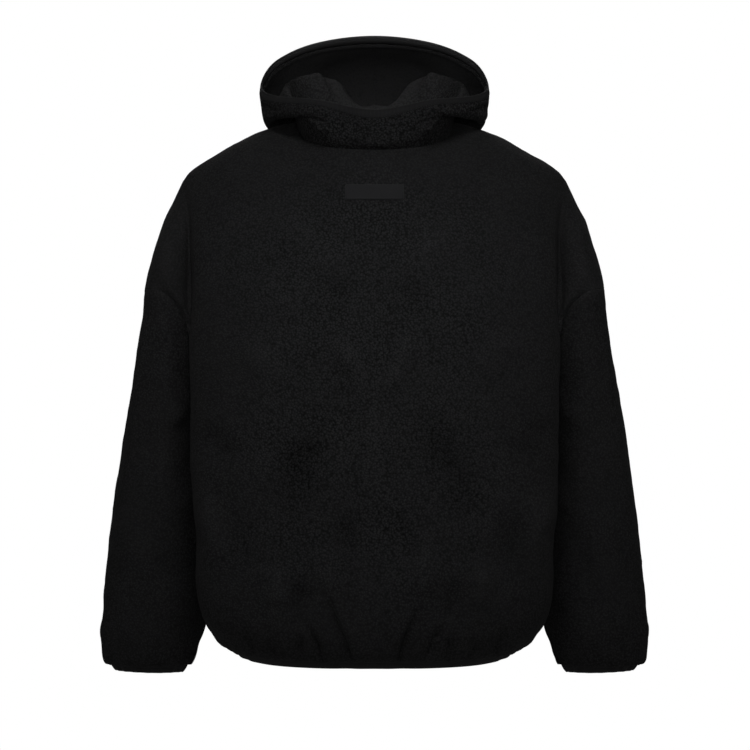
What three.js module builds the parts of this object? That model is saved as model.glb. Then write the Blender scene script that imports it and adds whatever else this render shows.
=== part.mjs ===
// A boxy pullover hoodie in deep pile fleece, filled out as it is worn.
// Millimetres, +X to the wearer's left, -Y to the front, +Z up, origin at the middle of the neck
// at the height of the shoulder seams. Each cut piece of cloth is a wall of its own, 0.3 mm from the next.
import * as THREE from "three";

// Cloth
const WALL = 3;
const SEAM_GAP = 0.3;
const MOST_MITRE = 1.5;
const SAME_LENGTH = 1e-3;

// Neckline
const NECK_HALF = 95;
const NECK_SIDE = { y: 10, z: 8 };
const NECK_FRONT = { y: -100, z: -34 };
const NECK_SQUARE = 0.5;
const NECK_BACK = { y: 80, z: 17 };

// Shoulder line, from the neckline's side out to the fold above the arm: half-width and height
const RIDGE_Y = 14;
const SHOULDER = [
  { half: 95, z: 8 },
  { half: 118, z: 2.5 },
  { half: 140, z: -5 },
  { half: 165, z: -16 },
  { half: 190, z: -30 },
  { half: 219, z: -46 },
  { half: 236, z: -57 },
  { half: 245, z: -68 },
];

// Armhole, a drooping ring: its top lies on the outside of the arm and its bottom is the underarm.
// `lean` and `droop` are the powers by which it keeps out and up before it turns down to the underarm.
const ARMHOLE = { outer: 292, inner: 212, topZ: -207, underZ: -306, depth: 82, lean: 1.6, droop: 4.5 };
const CAP_FULLNESS = { top: 6, front: 15 };

// Torso levels, by the height of the middle front. `front` and `back` are the depths of the middle
// front and back, `wing` the half-width of the fold beside each arm and wingY its place, `seam` the
// half-width at the side seam, and `lift` how far the side of the level stands above its middle.
const TORSO = [
  { z: -668, wing: 186, wingY: -12, rearWing: 185, rearWingY: 28, seam: 184, front: 130, back: 120, lift: 12 },
  { z: -658, wing: 200, wingY: -22, rearWing: 197, rearWingY: 36, seam: 196, front: 142, back: 131, lift: 11 },
  { z: -640, wing: 211, wingY: -36, rearWing: 207, rearWingY: 50, seam: 202, front: 151, back: 139, lift: 8 },
  { z: -612, wing: 220, wingY: -48, rearWing: 214, rearWingY: 66, seam: 204, front: 155, back: 142, lift: 5 },
  { z: -575, wing: 225, wingY: -56, rearWing: 218, rearWingY: 76, seam: 204, front: 155, back: 141, lift: 3 },
  { z: -520, wing: 224, wingY: -60, rearWing: 218, rearWingY: 80, seam: 203, front: 153, back: 139, lift: 1 },
  { z: -440, wing: 229, wingY: -60, rearWing: 220, rearWingY: 84, seam: 203, front: 152, back: 140, lift: 0 },
  { z: -310, wing: 232, wingY: -60, rearWing: 222, rearWingY: 85, seam: 203, front: 150, back: 140, lift: 0 },
];
const CHEST_Z = -310;
const ROUNDNESS = 2.4;
const NECK_TURN = 29;
const UNDERARM_FLARE = 9;
const UNDERARM_FADE = 9;
const CLIMB = 1.6;
const FRONT_SLOPE = 50;
const BACK_SLOPE = 60;

// Gathers drawn in by the hem's elastic: `at` is the place along the hem from the middle, `lean`
// how far the top of the trough lies from its foot, `tall` its height and `deep` its depth.
const FRONT_GATHERS = [
  { at: -258, lean: -8, tall: 40, deep: 3.5 },
  { at: -215, lean: -10, tall: 52, deep: 4.5 },
  { at: -186, lean: -8, tall: 34, deep: 3 },
  { at: -158, lean: -12, tall: 46, deep: 4 },
  { at: -129, lean: -14, tall: 30, deep: 4.5 },
  { at: -100, lean: -2, tall: 48, deep: 4 },
  { at: -72, lean: -12, tall: 56, deep: 5.5 },
  { at: -29, lean: -30, tall: 86, deep: 6.5 },
  { at: 0, lean: 4, tall: 26, deep: 2 },
  { at: 29, lean: 24, tall: 62, deep: 6 },
  { at: 72, lean: 14, tall: 50, deep: 5.5 },
  { at: 100, lean: 4, tall: 54, deep: 4.5 },
  { at: 129, lean: 12, tall: 32, deep: 4 },
  { at: 158, lean: 10, tall: 44, deep: 4 },
  { at: 186, lean: 8, tall: 36, deep: 3.5 },
  { at: 215, lean: 10, tall: 50, deep: 4.5 },
  { at: 258, lean: 8, tall: 38, deep: 3.5 },
];
const BACK_GATHERS = [
  { at: -244, lean: -8, tall: 44, deep: 4 },
  { at: -200, lean: -12, tall: 56, deep: 4.5 },
  { at: -158, lean: -6, tall: 36, deep: 3.5 },
  { at: -129, lean: -14, tall: 60, deep: 5 },
  { at: -86, lean: -10, tall: 42, deep: 4.5 },
  { at: -57, lean: -16, tall: 70, deep: 5.5 },
  { at: -14, lean: -6, tall: 48, deep: 4 },
  { at: 14, lean: 10, tall: 38, deep: 3 },
  { at: 57, lean: 14, tall: 64, deep: 5.5 },
  { at: 100, lean: 8, tall: 46, deep: 4.5 },
  { at: 129, lean: 12, tall: 54, deep: 4 },
  { at: 172, lean: 10, tall: 40, deep: 4 },
  { at: 215, lean: 10, tall: 52, deep: 4.5 },
  { at: 250, lean: 6, tall: 34, deep: 3 },
];
const GATHER_WIDTH = 11;
const NECK_ARC = 101;
const HEM_ARC = 258;

// Sleeve rings, from the armhole down to the cuff seam: the outer and the inner line of the arm,
// the middle of the arm's depth and half of it.
const SLEEVE = [
  { outer: 292, outerZ: -207, inner: 212, innerZ: -306, middleY: 14, depth: 82 },
  { outer: 292, outerZ: -218, inner: 218, innerZ: -311, middleY: 15, depth: 82 },
  { outer: 293, outerZ: -240, inner: 220, innerZ: -326, middleY: 17, depth: 80 },
  { outer: 299, outerZ: -272, inner: 219.5, innerZ: -350, middleY: 20, depth: 76.5 },
  { outer: 308, outerZ: -318, inner: 218.5, innerZ: -385, middleY: 24, depth: 72 },
  { outer: 318, outerZ: -370, inner: 218, innerZ: -425, middleY: 27, depth: 68 },
  { outer: 326.5, outerZ: -424, inner: 217.5, innerZ: -468, middleY: 28, depth: 65 },
  { outer: 334.5, outerZ: -478, inner: 217, innerZ: -512, middleY: 29, depth: 63 },
  { outer: 340.5, outerZ: -530, inner: 216.5, innerZ: -553, middleY: 29, depth: 63 },
  { outer: 346, outerZ: -578, inner: 216, innerZ: -590, middleY: 29, depth: 63 },
  { outer: 349, outerZ: -618, inner: 216, innerZ: -622, middleY: 29, depth: 63 },
  { outer: 351.5, outerZ: -648, inner: 221, innerZ: -646, middleY: 28, depth: 60 },
  { outer: 349, outerZ: -666, inner: 229.5, innerZ: -665, middleY: 27, depth: 53 },
  { outer: 345.5, outerZ: -677, inner: 235.5, innerZ: -677, middleY: 26, depth: 43 },
  { outer: 340, outerZ: -681, inner: 240, innerZ: -684, middleY: 25, depth: 34 },
];
const CUFF = { tall: 14, narrows: 0.86, bulge: 1.5, gathers: 9, deep: 2.2, reach: 34 };
const ARM_RIDGE = { angle: 42, width: 16, high: 4, fadeZ: -450, fade: 90 };

// Hood levels, from the stand at the neckline, over its inner crest, down into the pouch that
// hangs at the back and up to the binding seam and the opening's rim. `half`, `frontY` and `backY`
// are the level's plan, and z0 to z180 its heights every 30 degrees round from the front.
const HOOD = [
  { half: 104, frontY: -107, backY: 88, z0: -29.5, z30: -21, z60: 3, z90: 29, z120: 44, z150: 42, z180: 22 },
  { half: 112, frontY: -108, backY: 100, z0: -24, z30: -8, z60: 26, z90: 52, z120: 70, z150: 66, z180: 26 },
  { half: 121, frontY: -107, backY: 114, z0: -20, z30: 2, z60: 24, z90: 42, z120: 56, z150: 48, z180: 14 },
  { half: 131, frontY: -106, backY: 124, z0: -15, z30: 6, z60: 14, z90: 18, z120: 12, z150: -22, z180: -50 },
  { half: 134, frontY: -104.5, backY: 142, z0: -11, z30: 9, z60: 9.5, z90: 4.5, z120: -18, z150: -76, z180: -98 },
  { half: 140, frontY: -104, backY: 178, z0: -8, z30: 12, z60: 13, z90: 10, z120: -4, z150: -48, z180: -64 },
  { half: 142.5, frontY: -102, backY: 190, z0: -5, z30: 15, z60: 19, z90: 25, z120: 34, z150: 30, z180: 24 },
  { half: 144.5, frontY: -99, backY: 166, z0: -1, z30: 18, z60: 24, z90: 36, z120: 62, z150: 82, z180: 90 },
  { half: 146, frontY: -95, backY: 96, z0: 4, z30: 21.5, z60: 29, z90: 45, z120: 83, z150: 111, z180: 121 },
  { half: 145, frontY: -88, backY: 86, z0: 16, z30: 29.5, z60: 38, z90: 56, z120: 92, z150: 117, z180: 126.5 },
];
const HOOD_STATIONS = [-30, 0, 30, 60, 90, 120, 150, 180, 210];

// Hem band and label
const HEM_BAND = { tall: 12, narrows: 0.957, bulge: 1.5 };
const LABEL = { wide: 72, tall: 19, topZ: -80, thick: 1.5, corner: 2.5, columns: 12 };

// Grid of the walls. A row of each panel runs across neck, shoulder and underarm columns.
const NECK_COLUMNS = 10;
const SHOULDER_COLUMNS = 10;
const ARM_COLUMNS = 5;
const HALF_COLUMNS = NECK_COLUMNS + SHOULDER_COLUMNS + ARM_COLUMNS;
const NECK_AT = NECK_COLUMNS / HALF_COLUMNS;
const FOLD_AT = (NECK_COLUMNS + SHOULDER_COLUMNS) / HALF_COLUMNS;
const LOWER_ROWS = [-668, -660, -648, -628, -598, -552, -492, -430, -372, -330, CHEST_Z];
const UPPER_ROWS = 10;
const HOOD_ROWS = [0, 0.5, 1, 1.5, 2, 2.5, 3, 4, 4.6, 5, 5.4, 6, 6.6, 7.2, 7.8, 8.4, 9];
const HOOD_SEAM_LEVEL = 9;
const BAND_ROWS = 2;

const FLEECE = { color: 0x1b1b1c, roughness: 0.95, metalness: 0 };
const KNIT = { color: 0x222223, roughness: 0.9, metalness: 0 };
const RUBBER = { color: 0x232425, roughness: 0.6, metalness: 0 };

const radians = THREE.MathUtils.degToRad;
const lerp = THREE.MathUtils.lerp;
const clamp = THREE.MathUtils.clamp;
const smooth = (t) => THREE.MathUtils.smoothstep(t, 0, 1);

// Value of one column of a table at a key: a cubic through the rows, with each row's slope taken
// from its neighbours.
function along(table, key, column, at) {
  const last = table.length - 1;
  let k = 0;
  while (k < last - 1 && at > table[k + 1][key]) k += 1;
  const slope = (i) => {
    const a = table[Math.max(i - 1, 0)];
    const b = table[Math.min(i + 1, last)];
    return (b[column] - a[column]) / (b[key] - a[key]);
  };
  const span = table[k + 1][key] - table[k][key];
  const t = clamp((at - table[k][key]) / span, 0, 1);
  const rise = table[k + 1][column] - table[k][column];
  return (
    table[k][column] +
    t * t * (3 - 2 * t) * rise +
    t * (1 - t) * (1 - t) * span * slope(k) -
    t * t * (1 - t) * span * slope(k + 1)
  );
}

// Rows that are evenly numbered, for tables with no key of their own.
const numbered = (table) => table.map((row, index) => ({ ...row, index }));
const SLEEVE_RINGS = numbered(SLEEVE);

// A point of the neckline: 0 degrees is the middle front or back and 90 the side.
function neckline(angle, front) {
  const middle = front ? NECK_FRONT : NECK_BACK;
  const c = Math.cos(angle);
  return new THREE.Vector3(
    NECK_HALF * Math.sin(angle),
    lerp(NECK_SIDE.y, middle.y, c),
    lerp(NECK_SIDE.z, middle.z, front ? Math.pow(Math.max(c, 0), NECK_SQUARE) : c),
  );
}

// A point of the armhole: 0 degrees is the top, outside the arm, and 180 the underarm.
function armhole(angle, front) {
  const inward = (1 - Math.cos(angle)) / 2;
  return new THREE.Vector3(
    lerp(ARMHOLE.outer, ARMHOLE.inner, Math.pow(inward, ARMHOLE.lean)),
    RIDGE_Y + (front ? -1 : 1) * ARMHOLE.depth * Math.sin(angle),
    lerp(ARMHOLE.topZ, ARMHOLE.underZ, Math.pow(inward, ARMHOLE.droop)),
  );
}

// The trough depth of a list of gathers at a place along the hem and a height above it.
function gathered(gathers, place, height) {
  let deep = 0;
  for (const g of gathers) {
    const up = clamp(height / g.tall, 0, 1);
    const off = (place - g.at - g.lean * up) / GATHER_WIDTH;
    deep += g.deep * Math.exp(-off * off) * (1 - smooth(up));
  }
  return deep;
}

// Value that runs from 0 at the middle to `neck` at the neck's last column and `fold` at the fold.
const spread = (across, neck, fold) =>
  across < NECK_AT
    ? (neck * across) / NECK_AT
    : lerp(neck, fold, Math.min((across - NECK_AT) / (FOLD_AT - NECK_AT), 1));

// A point of the torso below the chest. `across` runs from 0 at the middle to 1 at the side seam:
// a rounded front as far as the fold beside the arm, then a tuck back in to the seam.
function torsoPoint(across, z, front) {
  const at = (column) => along(TORSO, "z", column, z);
  const sign = front ? -1 : 1;
  const wing = at(front ? "wing" : "rearWing");
  const wingY = at(front ? "wingY" : "rearWingY");
  const depth = sign * at(front ? "front" : "back");
  const seam = at("seam") + UNDERARM_FLARE * Math.exp((z - CHEST_Z) / UNDERARM_FADE);
  const q = clamp((across - FOLD_AT) / (1 - FOLD_AT), 0, 1);
  const round = radians(spread(across, NECK_TURN, 90));
  const power = 2 / ROUNDNESS;
  const point = new THREE.Vector3();
  point.x = wing * Math.pow(Math.sin(round), power);
  point.y = lerp(wingY, depth, Math.pow(Math.max(Math.cos(round), 0), power));
  if (q > 0) {
    point.x = lerp(wing, seam, (1 - Math.cos(Math.PI * q)) / 2);
    point.y = lerp(wingY, RIDGE_Y, q);
  }
  const crotch = (ARMHOLE.underZ - CHEST_Z) * q * q * Math.exp((z - CHEST_Z) / UNDERARM_FADE);
  point.z = z + at("lift") * Math.pow(Math.sin(round), 5) + crotch;
  return point;
}

// A point of the torso above the chest. `climb` runs from 0 at the chest to 1 at the neckline and
// the shoulder seam. Columns beyond the fold join it to the armhole with a full, rounded cap.
function yokePoint(across, climb, front) {
  const rise = Math.pow(climb, CLIMB);
  const inside = Math.min(across, FOLD_AT);
  const chest = torsoPoint(inside, CHEST_Z, front);
  let top;
  let bend = radians(90);
  if (inside <= NECK_AT) {
    const t = inside / NECK_AT;
    top = neckline(radians(90) * t, front);
    bend = radians(lerp(front ? FRONT_SLOPE : BACK_SLOPE, 90, smooth(t)));
  } else {
    const t = (inside - NECK_AT) / (FOLD_AT - NECK_AT);
    const half = lerp(NECK_HALF, SHOULDER[SHOULDER.length - 1].half, t);
    top = new THREE.Vector3(half, lerp(NECK_SIDE.y, RIDGE_Y, t), along(SHOULDER, "half", "z", half));
  }
  const turn = bend * rise;
  const level = (Math.cos(turn) - Math.cos(bend)) / (1 - Math.cos(bend));
  const point = new THREE.Vector3(
    lerp(chest.x, top.x, rise * rise),
    lerp(top.y, chest.y, level),
    lerp(chest.z, top.z, Math.sin(turn) / Math.sin(bend)),
  );
  if (across <= FOLD_AT) return point;
  const q = (across - FOLD_AT) / (1 - FOLD_AT);
  const ring = armhole(Math.PI * (1 - climb), front);
  const under = torsoPoint(across, CHEST_Z, front);
  const cap = point.clone().lerp(ring, q);
  const near = Math.exp(-climb * UPPER_ROWS) * (1 - climb);
  cap.lerp(under, near * (1 - q));
  const out = new THREE.Vector3(cap.x - NECK_HALF * 2.5, cap.y - RIDGE_Y, 0).normalize();
  const full = lerp(CAP_FULLNESS.front, CAP_FULLNESS.top, smooth(2 * climb - 1));
  return cap.addScaledVector(out, full * Math.sin(Math.PI * q) * smooth(climb * 1.5));
}

// A point of a front or back panel, with across from -1 to 1 and its gathers above the hem.
function panelPoint(across, row, front) {
  const lower = LOWER_ROWS.length - 1;
  const side = Math.abs(across);
  const point =
    row <= lower
      ? torsoPoint(side, LOWER_ROWS[row], front)
      : yokePoint(side, (row - lower) / UPPER_ROWS, front);
  point.x *= Math.sign(across);
  if (row >= lower) return point;
  const place = Math.sign(across) * spread(side, NECK_ARC, HEM_ARC);
  const gathers = front ? FRONT_GATHERS : BACK_GATHERS;
  const deep = gathered(gathers, place, LOWER_ROWS[row] - LOWER_ROWS[0]);
  const fade = 1 - smooth((side - FOLD_AT) / (1 - FOLD_AT));
  const inward = new THREE.Vector3(-point.x, -point.y, 0).normalize();
  return point.addScaledVector(inward, deep * fade);
}

// A point of a sleeve: `ring` counts down the arm and the angle goes round it as the armhole's does.
function sleevePoint(ring, angle, front) {
  const at = (column) => along(SLEEVE_RINGS, "index", column, ring);
  const inward = (1 - Math.cos(angle)) / 2;
  const straight = smooth(ring / 6);
  const point = new THREE.Vector3(
    lerp(at("outer"), at("inner"), Math.pow(inward, lerp(ARMHOLE.lean, 1, straight))),
    at("middleY") + (front ? -1 : 1) * at("depth") * Math.sin(angle),
    lerp(at("outerZ"), at("innerZ"), Math.pow(inward, lerp(ARMHOLE.droop, 1, straight))),
  );
  const above = point.z - SLEEVE[SLEEVE.length - 1].outerZ;
  const wave = (1 + Math.cos(CUFF.gathers * angle * 2)) / 2;
  const deep = CUFF.deep * wave * (1 - smooth(above / CUFF.reach));
  const turn = (THREE.MathUtils.radToDeg(angle) - ARM_RIDGE.angle) / ARM_RIDGE.width;
  const settled = smooth(ring / 2) * (1 - smooth((ARM_RIDGE.fadeZ - point.z) / ARM_RIDGE.fade));
  const ridge = front ? ARM_RIDGE.high * Math.exp(-turn * turn) * settled : 0;
  const middle = (at("outer") + at("inner")) / 2;
  const outward = new THREE.Vector3(point.x - middle, point.y - at("middleY"), 0).normalize();
  return point.addScaledVector(outward, ridge - deep);
}

// A point of the hood: `level` counts the rows of its table, with the neckline before the first,
// and the angle goes round from 0 at the front to 180 at the back.
function hoodPoint(level, angle) {
  const front = angle <= radians(90);
  const seam = neckline(front ? angle : Math.PI - angle, front);
  const degrees = THREE.MathUtils.radToDeg(angle);
  const mirrored = (station) => (station > 180 ? 360 - station : Math.abs(station));
  const heights = (row) =>
    HOOD_STATIONS.map((station) => ({ station, z: row["z" + mirrored(station)] }));
  const sideways = (row) => new THREE.Vector3(
    row.half * Math.sin(angle),
    lerp(NECK_SIDE.y, front ? row.frontY : row.backY, Math.abs(Math.cos(angle))),
    along(heights(row), "station", "z", degrees),
  );
  const points = [seam, ...HOOD.map(sideways)].map((p, index) => ({ index, x: p.x, y: p.y, z: p.z }));
  return new THREE.Vector3(...["x", "y", "z"].map((axis) => along(points, "index", axis, level)));
}

// A sheet is a grid of points on the middle of its cloth. `loop` closes it round in its columns,
// and `turned` says that its rows and columns run so that the outside would face in.
function sheet(name, rows, columns, pointAt, { loop = false, turned = false } = {}) {
  const points = [];
  for (let i = 0; i <= rows; i += 1) {
    const row = [];
    for (let j = 0; j <= columns; j += 1) row.push(pointAt(i, loop ? j % columns : j));
    points.push(row);
  }
  return { name, rows, columns, points, loop, turned };
}

// Grid neighbours before and after a place, wrapped where the sheet is a loop.
function neighbours(s, i, j) {
  const wrap = (k) => (s.loop ? (k + s.columns) % s.columns : clamp(k, 0, s.columns));
  return {
    left: s.points[i][wrap(j - 1)],
    right: s.points[i][wrap(j + 1)],
    below: s.points[Math.max(i - 1, 0)][j],
    above: s.points[Math.min(i + 1, s.rows)][j],
  };
}

function normalAt(s, i, j) {
  const n = neighbours(s, i, j);
  const across = n.right.clone().sub(n.left);
  const up = n.above.clone().sub(n.below);
  const normal = across.cross(up).normalize();
  return s.turned ? normal.negate() : normal;
}

const placeKey = (p) => [p.x, p.y, p.z].map((c) => Math.round(c * 100)).join(",");

function borderPlaces(s) {
  const places = [];
  for (let i = 0; i <= s.rows; i += 1)
    for (let j = 0; j <= s.columns; j += 1) {
      const side = !s.loop && (j === 0 || j === s.columns);
      if (i === 0 || i === s.rows || side) places.push([i, j]);
    }
  return places;
}

// Where pieces meet, they share the mean of their outward directions, so that their edges are
// parallel and neither wall runs into the other.
function seamDirections(sheets) {
  const seams = new Map();
  for (const s of sheets)
    for (const [i, j] of borderPlaces(s)) {
      if (s.loop && j === s.columns) continue;
      const key = placeKey(s.points[i][j]);
      const seam = seams.get(key) || { sum: new THREE.Vector3(), count: 0 };
      seam.sum.add(normalAt(s, i, j));
      seam.count += 1;
      seams.set(key, seam);
    }
  return seams;
}

// How far an edge point moves back from its seam, at right angles to the seam and to its direction.
function seamShift(s, i, j, direction) {
  const n = neighbours(s, i, j);
  const shift = new THREE.Vector3();
  const own = s.points[i][j];
  const edges = [];
  if (i === 0) edges.push([n.above, n.right.clone().sub(n.left)]);
  if (i === s.rows) edges.push([n.below, n.right.clone().sub(n.left)]);
  if (!s.loop && j === 0) edges.push([n.right, n.above.clone().sub(n.below)]);
  if (!s.loop && j === s.columns) edges.push([n.left, n.above.clone().sub(n.below)]);
  for (const [inner, tangent] of edges) {
    const square = tangent.cross(direction).normalize();
    const side = Math.sign(inner.clone().sub(own).dot(square));
    shift.addScaledVector(square, (side * SEAM_GAP) / 2);
  }
  return shift;
}

// The outer and inner face of a sheet.
function faces(s, seams, thickness) {
  const outer = [];
  const inner = [];
  for (let i = 0; i <= s.rows; i += 1)
    for (let j = 0; j < s.columns + (s.loop ? 0 : 1); j += 1) {
      let direction = normalAt(s, i, j);
      let shift = new THREE.Vector3();
      let reach = thickness / 2;
      const edge = i === 0 || i === s.rows || (!s.loop && (j === 0 || j === s.columns));
      const seam = edge && seams.get(placeKey(s.points[i][j]));
      if (seam && seam.count > 1) {
        const mean = seam.sum.length() / seam.count;
        direction = seam.sum.clone().normalize();
        reach *= Math.min(1 / mean, MOST_MITRE);
        shift = seamShift(s, i, j, direction);
      }
      const middle = s.points[i][j].clone().add(shift);
      outer.push(middle.clone().addScaledVector(direction, reach));
      inner.push(middle.clone().addScaledVector(direction, -reach));
    }
  return { outer, inner };
}

// The closed wall between two faces of a grid: both faces and the strips round their borders.
function closeWall(rows, columns, loop, turned, { outer, inner }) {
  const width = columns + (loop ? 0 : 1);
  const at = (i, j) => i * width + (loop ? j % columns : j);
  const count = outer.length;
  const triangles = [];
  for (let i = 0; i < rows; i += 1)
    for (let j = 0; j < columns; j += 1) {
      const [a, b, c, d] = [at(i, j), at(i, j + 1), at(i + 1, j + 1), at(i + 1, j)];
      const short = outer[a].distanceTo(outer[c]) < outer[b].distanceTo(outer[d]);
      for (const [p, q, r] of short ? [[a, b, c], [a, c, d]] : [[b, c, d], [b, d, a]])
        triangles.push([p, q, r], [p + count, r + count, q + count]);
    }
  const strip = (p, q) => {
    const [r, s] = [p + count, q + count];
    const short = outer[q].distanceTo(inner[p]) < outer[p].distanceTo(inner[q]) - SAME_LENGTH;
    triangles.push(...(short ? [[q, p, r], [q, r, s]] : [[p, r, s], [p, s, q]]));
  };
  for (let j = 0; j < columns; j += 1) {
    strip(at(0, j), at(0, j + 1));
    strip(at(rows, j + 1), at(rows, j));
  }
  for (let i = 0; i < rows && !loop; i += 1) {
    strip(at(i, columns), at(i + 1, columns));
    strip(at(i + 1, 0), at(i, 0));
  }
  const geometry = new THREE.BufferGeometry();
  const corners = [...outer, ...inner].flatMap((p) => [p.x, p.y, p.z]);
  geometry.setAttribute("position", new THREE.Float32BufferAttribute(corners, 3));
  geometry.setIndex(triangles.flatMap(([a, b, c]) => (turned ? [a, c, b] : [a, b, c])));
  geometry.computeVertexNormals();
  return geometry;
}

function mesh(name, geometry, finish) {
  const made = new THREE.Mesh(geometry, new THREE.MeshStandardMaterial(finish));
  made.name = name;
  return made;
}

// Front and back panels, from the hem seam up to the neckline, shoulder seams and armholes.
function panel(name, front) {
  const rows = LOWER_ROWS.length - 1 + UPPER_ROWS;
  const pointAt = (i, j) => panelPoint((j - HALF_COLUMNS) / HALF_COLUMNS, i, front);
  return sheet(name, rows, 2 * HALF_COLUMNS, pointAt, { turned: !front });
}

// A sleeve, cut in one piece that closes on itself at the underarm seam.
function sleeve(name, side) {
  const half = UPPER_ROWS;
  const pointAt = (i, j) => {
    const point = sleevePoint(i, Math.PI * (1 - (j <= half ? j : 2 * half - j) / half), j <= half);
    return point.setX(point.x * side);
  };
  return sheet(name, SLEEVE.length - 1, 2 * half, pointAt, { turned: side > 0 });
}

// The hood, in one piece that goes round the neck and closes on itself at the middle back.
function hood(name) {
  const columns = 4 * NECK_COLUMNS;
  const pointAt = (i, j) => {
    const turn = (2 * Math.PI * j) / columns - Math.PI;
    const point = hoodPoint(HOOD_ROWS[i], Math.abs(turn));
    return point.setX(point.x * Math.sign(turn));
  };
  return sheet(name, HOOD_ROWS.length - 1, columns, pointAt);
}

// The knitted binding that edges the hood's opening, an endless band.
function hoodBinding(name) {
  const columns = 4 * NECK_COLUMNS;
  const pointAt = (i, j) => {
    const turn = (2 * Math.PI * j) / columns - Math.PI;
    const point = hoodPoint(HOOD_SEAM_LEVEL + i / BAND_ROWS, Math.abs(turn));
    return point.setX(point.x * Math.sign(turn));
  };
  return sheet(name, BAND_ROWS, columns, pointAt, { loop: true });
}

// An elastic band below a seam: it narrows towards its lower edge and bulges at its middle.
function band(name, seamPoints, size, middle, turned) {
  const pointAt = (i, j) => {
    const down = i / BAND_ROWS;
    const seam = seamPoints[j];
    const narrow = lerp(1, size.narrows, down);
    const point = new THREE.Vector3(
      middle.x + (seam.x - middle.x) * narrow,
      middle.y + (seam.y - middle.y) * narrow,
      seam.z - size.tall * down,
    );
    const outward = new THREE.Vector3(point.x - middle.x, point.y - middle.y, 0).normalize();
    return point.addScaledVector(outward, size.bulge * Math.sin(Math.PI * down));
  };
  return sheet(name, BAND_ROWS, seamPoints.length, pointAt, { loop: true, turned });
}

function hemBand(name, front, back) {
  const loop = [...front.points[0], ...back.points[0].slice(1, -1).reverse()];
  return band(name, loop, HEM_BAND, { x: 0, y: RIDGE_Y }, true);
}

function cuff(name, arm, side) {
  const seam = arm.points[arm.rows].slice(0, -1);
  const last = SLEEVE[SLEEVE.length - 1];
  const middle = { x: (side * (last.outer + last.inner)) / 2, y: last.middleY };
  return band(name, seam, CUFF, middle, side > 0);
}

const frontPanel = panel("front_panel", true);
const backPanel = panel("back_panel", false);
const sleeveLeft = sleeve("sleeve_left", 1);
const sleeveRight = sleeve("sleeve_right", -1);
const hoodSheet = hood("hood");
const fleecePieces = [frontPanel, backPanel, sleeveLeft, sleeveRight, hoodSheet];
const knitPieces = [
  hoodBinding("hood_binding"),
  hemBand("hem_band", frontPanel, backPanel),
  cuff("cuff_left", sleeveLeft, 1),
  cuff("cuff_right", sleeveRight, -1),
];

const seams = seamDirections([...fleecePieces, ...knitPieces]);
const hoodie = new THREE.Group();
for (const [pieces, finish] of [[fleecePieces, FLEECE], [knitPieces, KNIT]])
  for (const s of pieces) {
    const wall = closeWall(s.rows, s.columns, s.loop, s.turned, faces(s, seams, WALL));
    hoodie.add(mesh(s.name, wall, finish));
  }

// Place on the front panel above the chest at a half-width and height, found by halving.
function frontAt(x, z) {
  let across = 0;
  let climb = 0;
  for (let round = 0; round < 6; round += 1) {
    let [low, high] = [0, 1];
    for (let step = 0; step < 16; step += 1) {
      climb = (low + high) / 2;
      if (yokePoint(across, climb, true).z < z) low = climb;
      else high = climb;
    }
    [low, high] = [0, NECK_AT];
    for (let step = 0; step < 16; step += 1) {
      across = (low + high) / 2;
      if (yokePoint(across, climb, true).x < Math.abs(x)) low = across;
      else high = across;
    }
  }
  const point = yokePoint(across, climb, true);
  return point.setX(x);
}

// The label lies on the front panel: the panel's own points, moved out past its outer face.
function labelPatch(name) {
  const ends = LABEL.corner / LABEL.tall;
  const rows = [0, ends, 0.5, 1 - ends, 1];
  const last = rows.length - 1;
  const outward = (x, z) => {
    const step = 4;
    const across = frontAt(x + step, z).sub(frontAt(x - step, z));
    const up = frontAt(x, z + step).sub(frontAt(x, z - step));
    return across.cross(up).normalize();
  };
  const layer = (height) => {
    const points = [];
    for (let i = 0; i <= last; i += 1)
      for (let j = 0; j <= LABEL.columns; j += 1) {
        const z = LABEL.topZ - LABEL.tall * (1 - rows[i]);
        const cut = i === 0 || i === last ? LABEL.corner : 0;
        const x = (LABEL.wide / 2 - cut) * ((2 * j) / LABEL.columns - 1);
        points.push(frontAt(x, z).addScaledVector(outward(x, z), height));
      }
    return points;
  };
  const seat = WALL / 2 + SEAM_GAP;
  const wall = { outer: layer(seat + LABEL.thick), inner: layer(seat) };
  return mesh(name, closeWall(last, LABEL.columns, false, false, wall), RUBBER);
}

hoodie.add(labelPatch("label_patch"));

export default hoodie;
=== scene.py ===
"""Dresses the pullover hoodie: fleece panels, sleeves and hood as fine shells with their folds, knitted
bindings with stitching, the rubber patch, and the studio that shows them."""
import math

import bpy
import numpy as np
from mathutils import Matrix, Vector


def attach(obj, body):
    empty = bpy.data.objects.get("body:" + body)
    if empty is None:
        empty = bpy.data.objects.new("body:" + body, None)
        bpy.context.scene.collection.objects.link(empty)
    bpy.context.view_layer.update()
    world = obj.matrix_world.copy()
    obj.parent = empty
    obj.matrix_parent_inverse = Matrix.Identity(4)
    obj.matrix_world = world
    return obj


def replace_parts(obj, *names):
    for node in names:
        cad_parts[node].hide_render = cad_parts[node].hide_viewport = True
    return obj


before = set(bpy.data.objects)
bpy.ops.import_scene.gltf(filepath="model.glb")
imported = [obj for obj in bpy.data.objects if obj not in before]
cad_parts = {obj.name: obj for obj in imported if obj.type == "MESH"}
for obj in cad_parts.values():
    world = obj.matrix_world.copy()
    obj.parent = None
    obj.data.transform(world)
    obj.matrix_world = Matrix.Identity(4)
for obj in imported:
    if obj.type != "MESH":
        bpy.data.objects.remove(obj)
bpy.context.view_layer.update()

bl_info = {
    "name": "Pullover hoodie",
    "version": (1, 0, 0),
    "blender": (4, 5, 0),
    "location": "3D View > Sidebar > Hoodie",
    "description": "Makes the cloth, bindings, stitching and patch of a deep pile pullover hoodie",
    "category": "Add Mesh",
}

MM = 0.001


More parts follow.
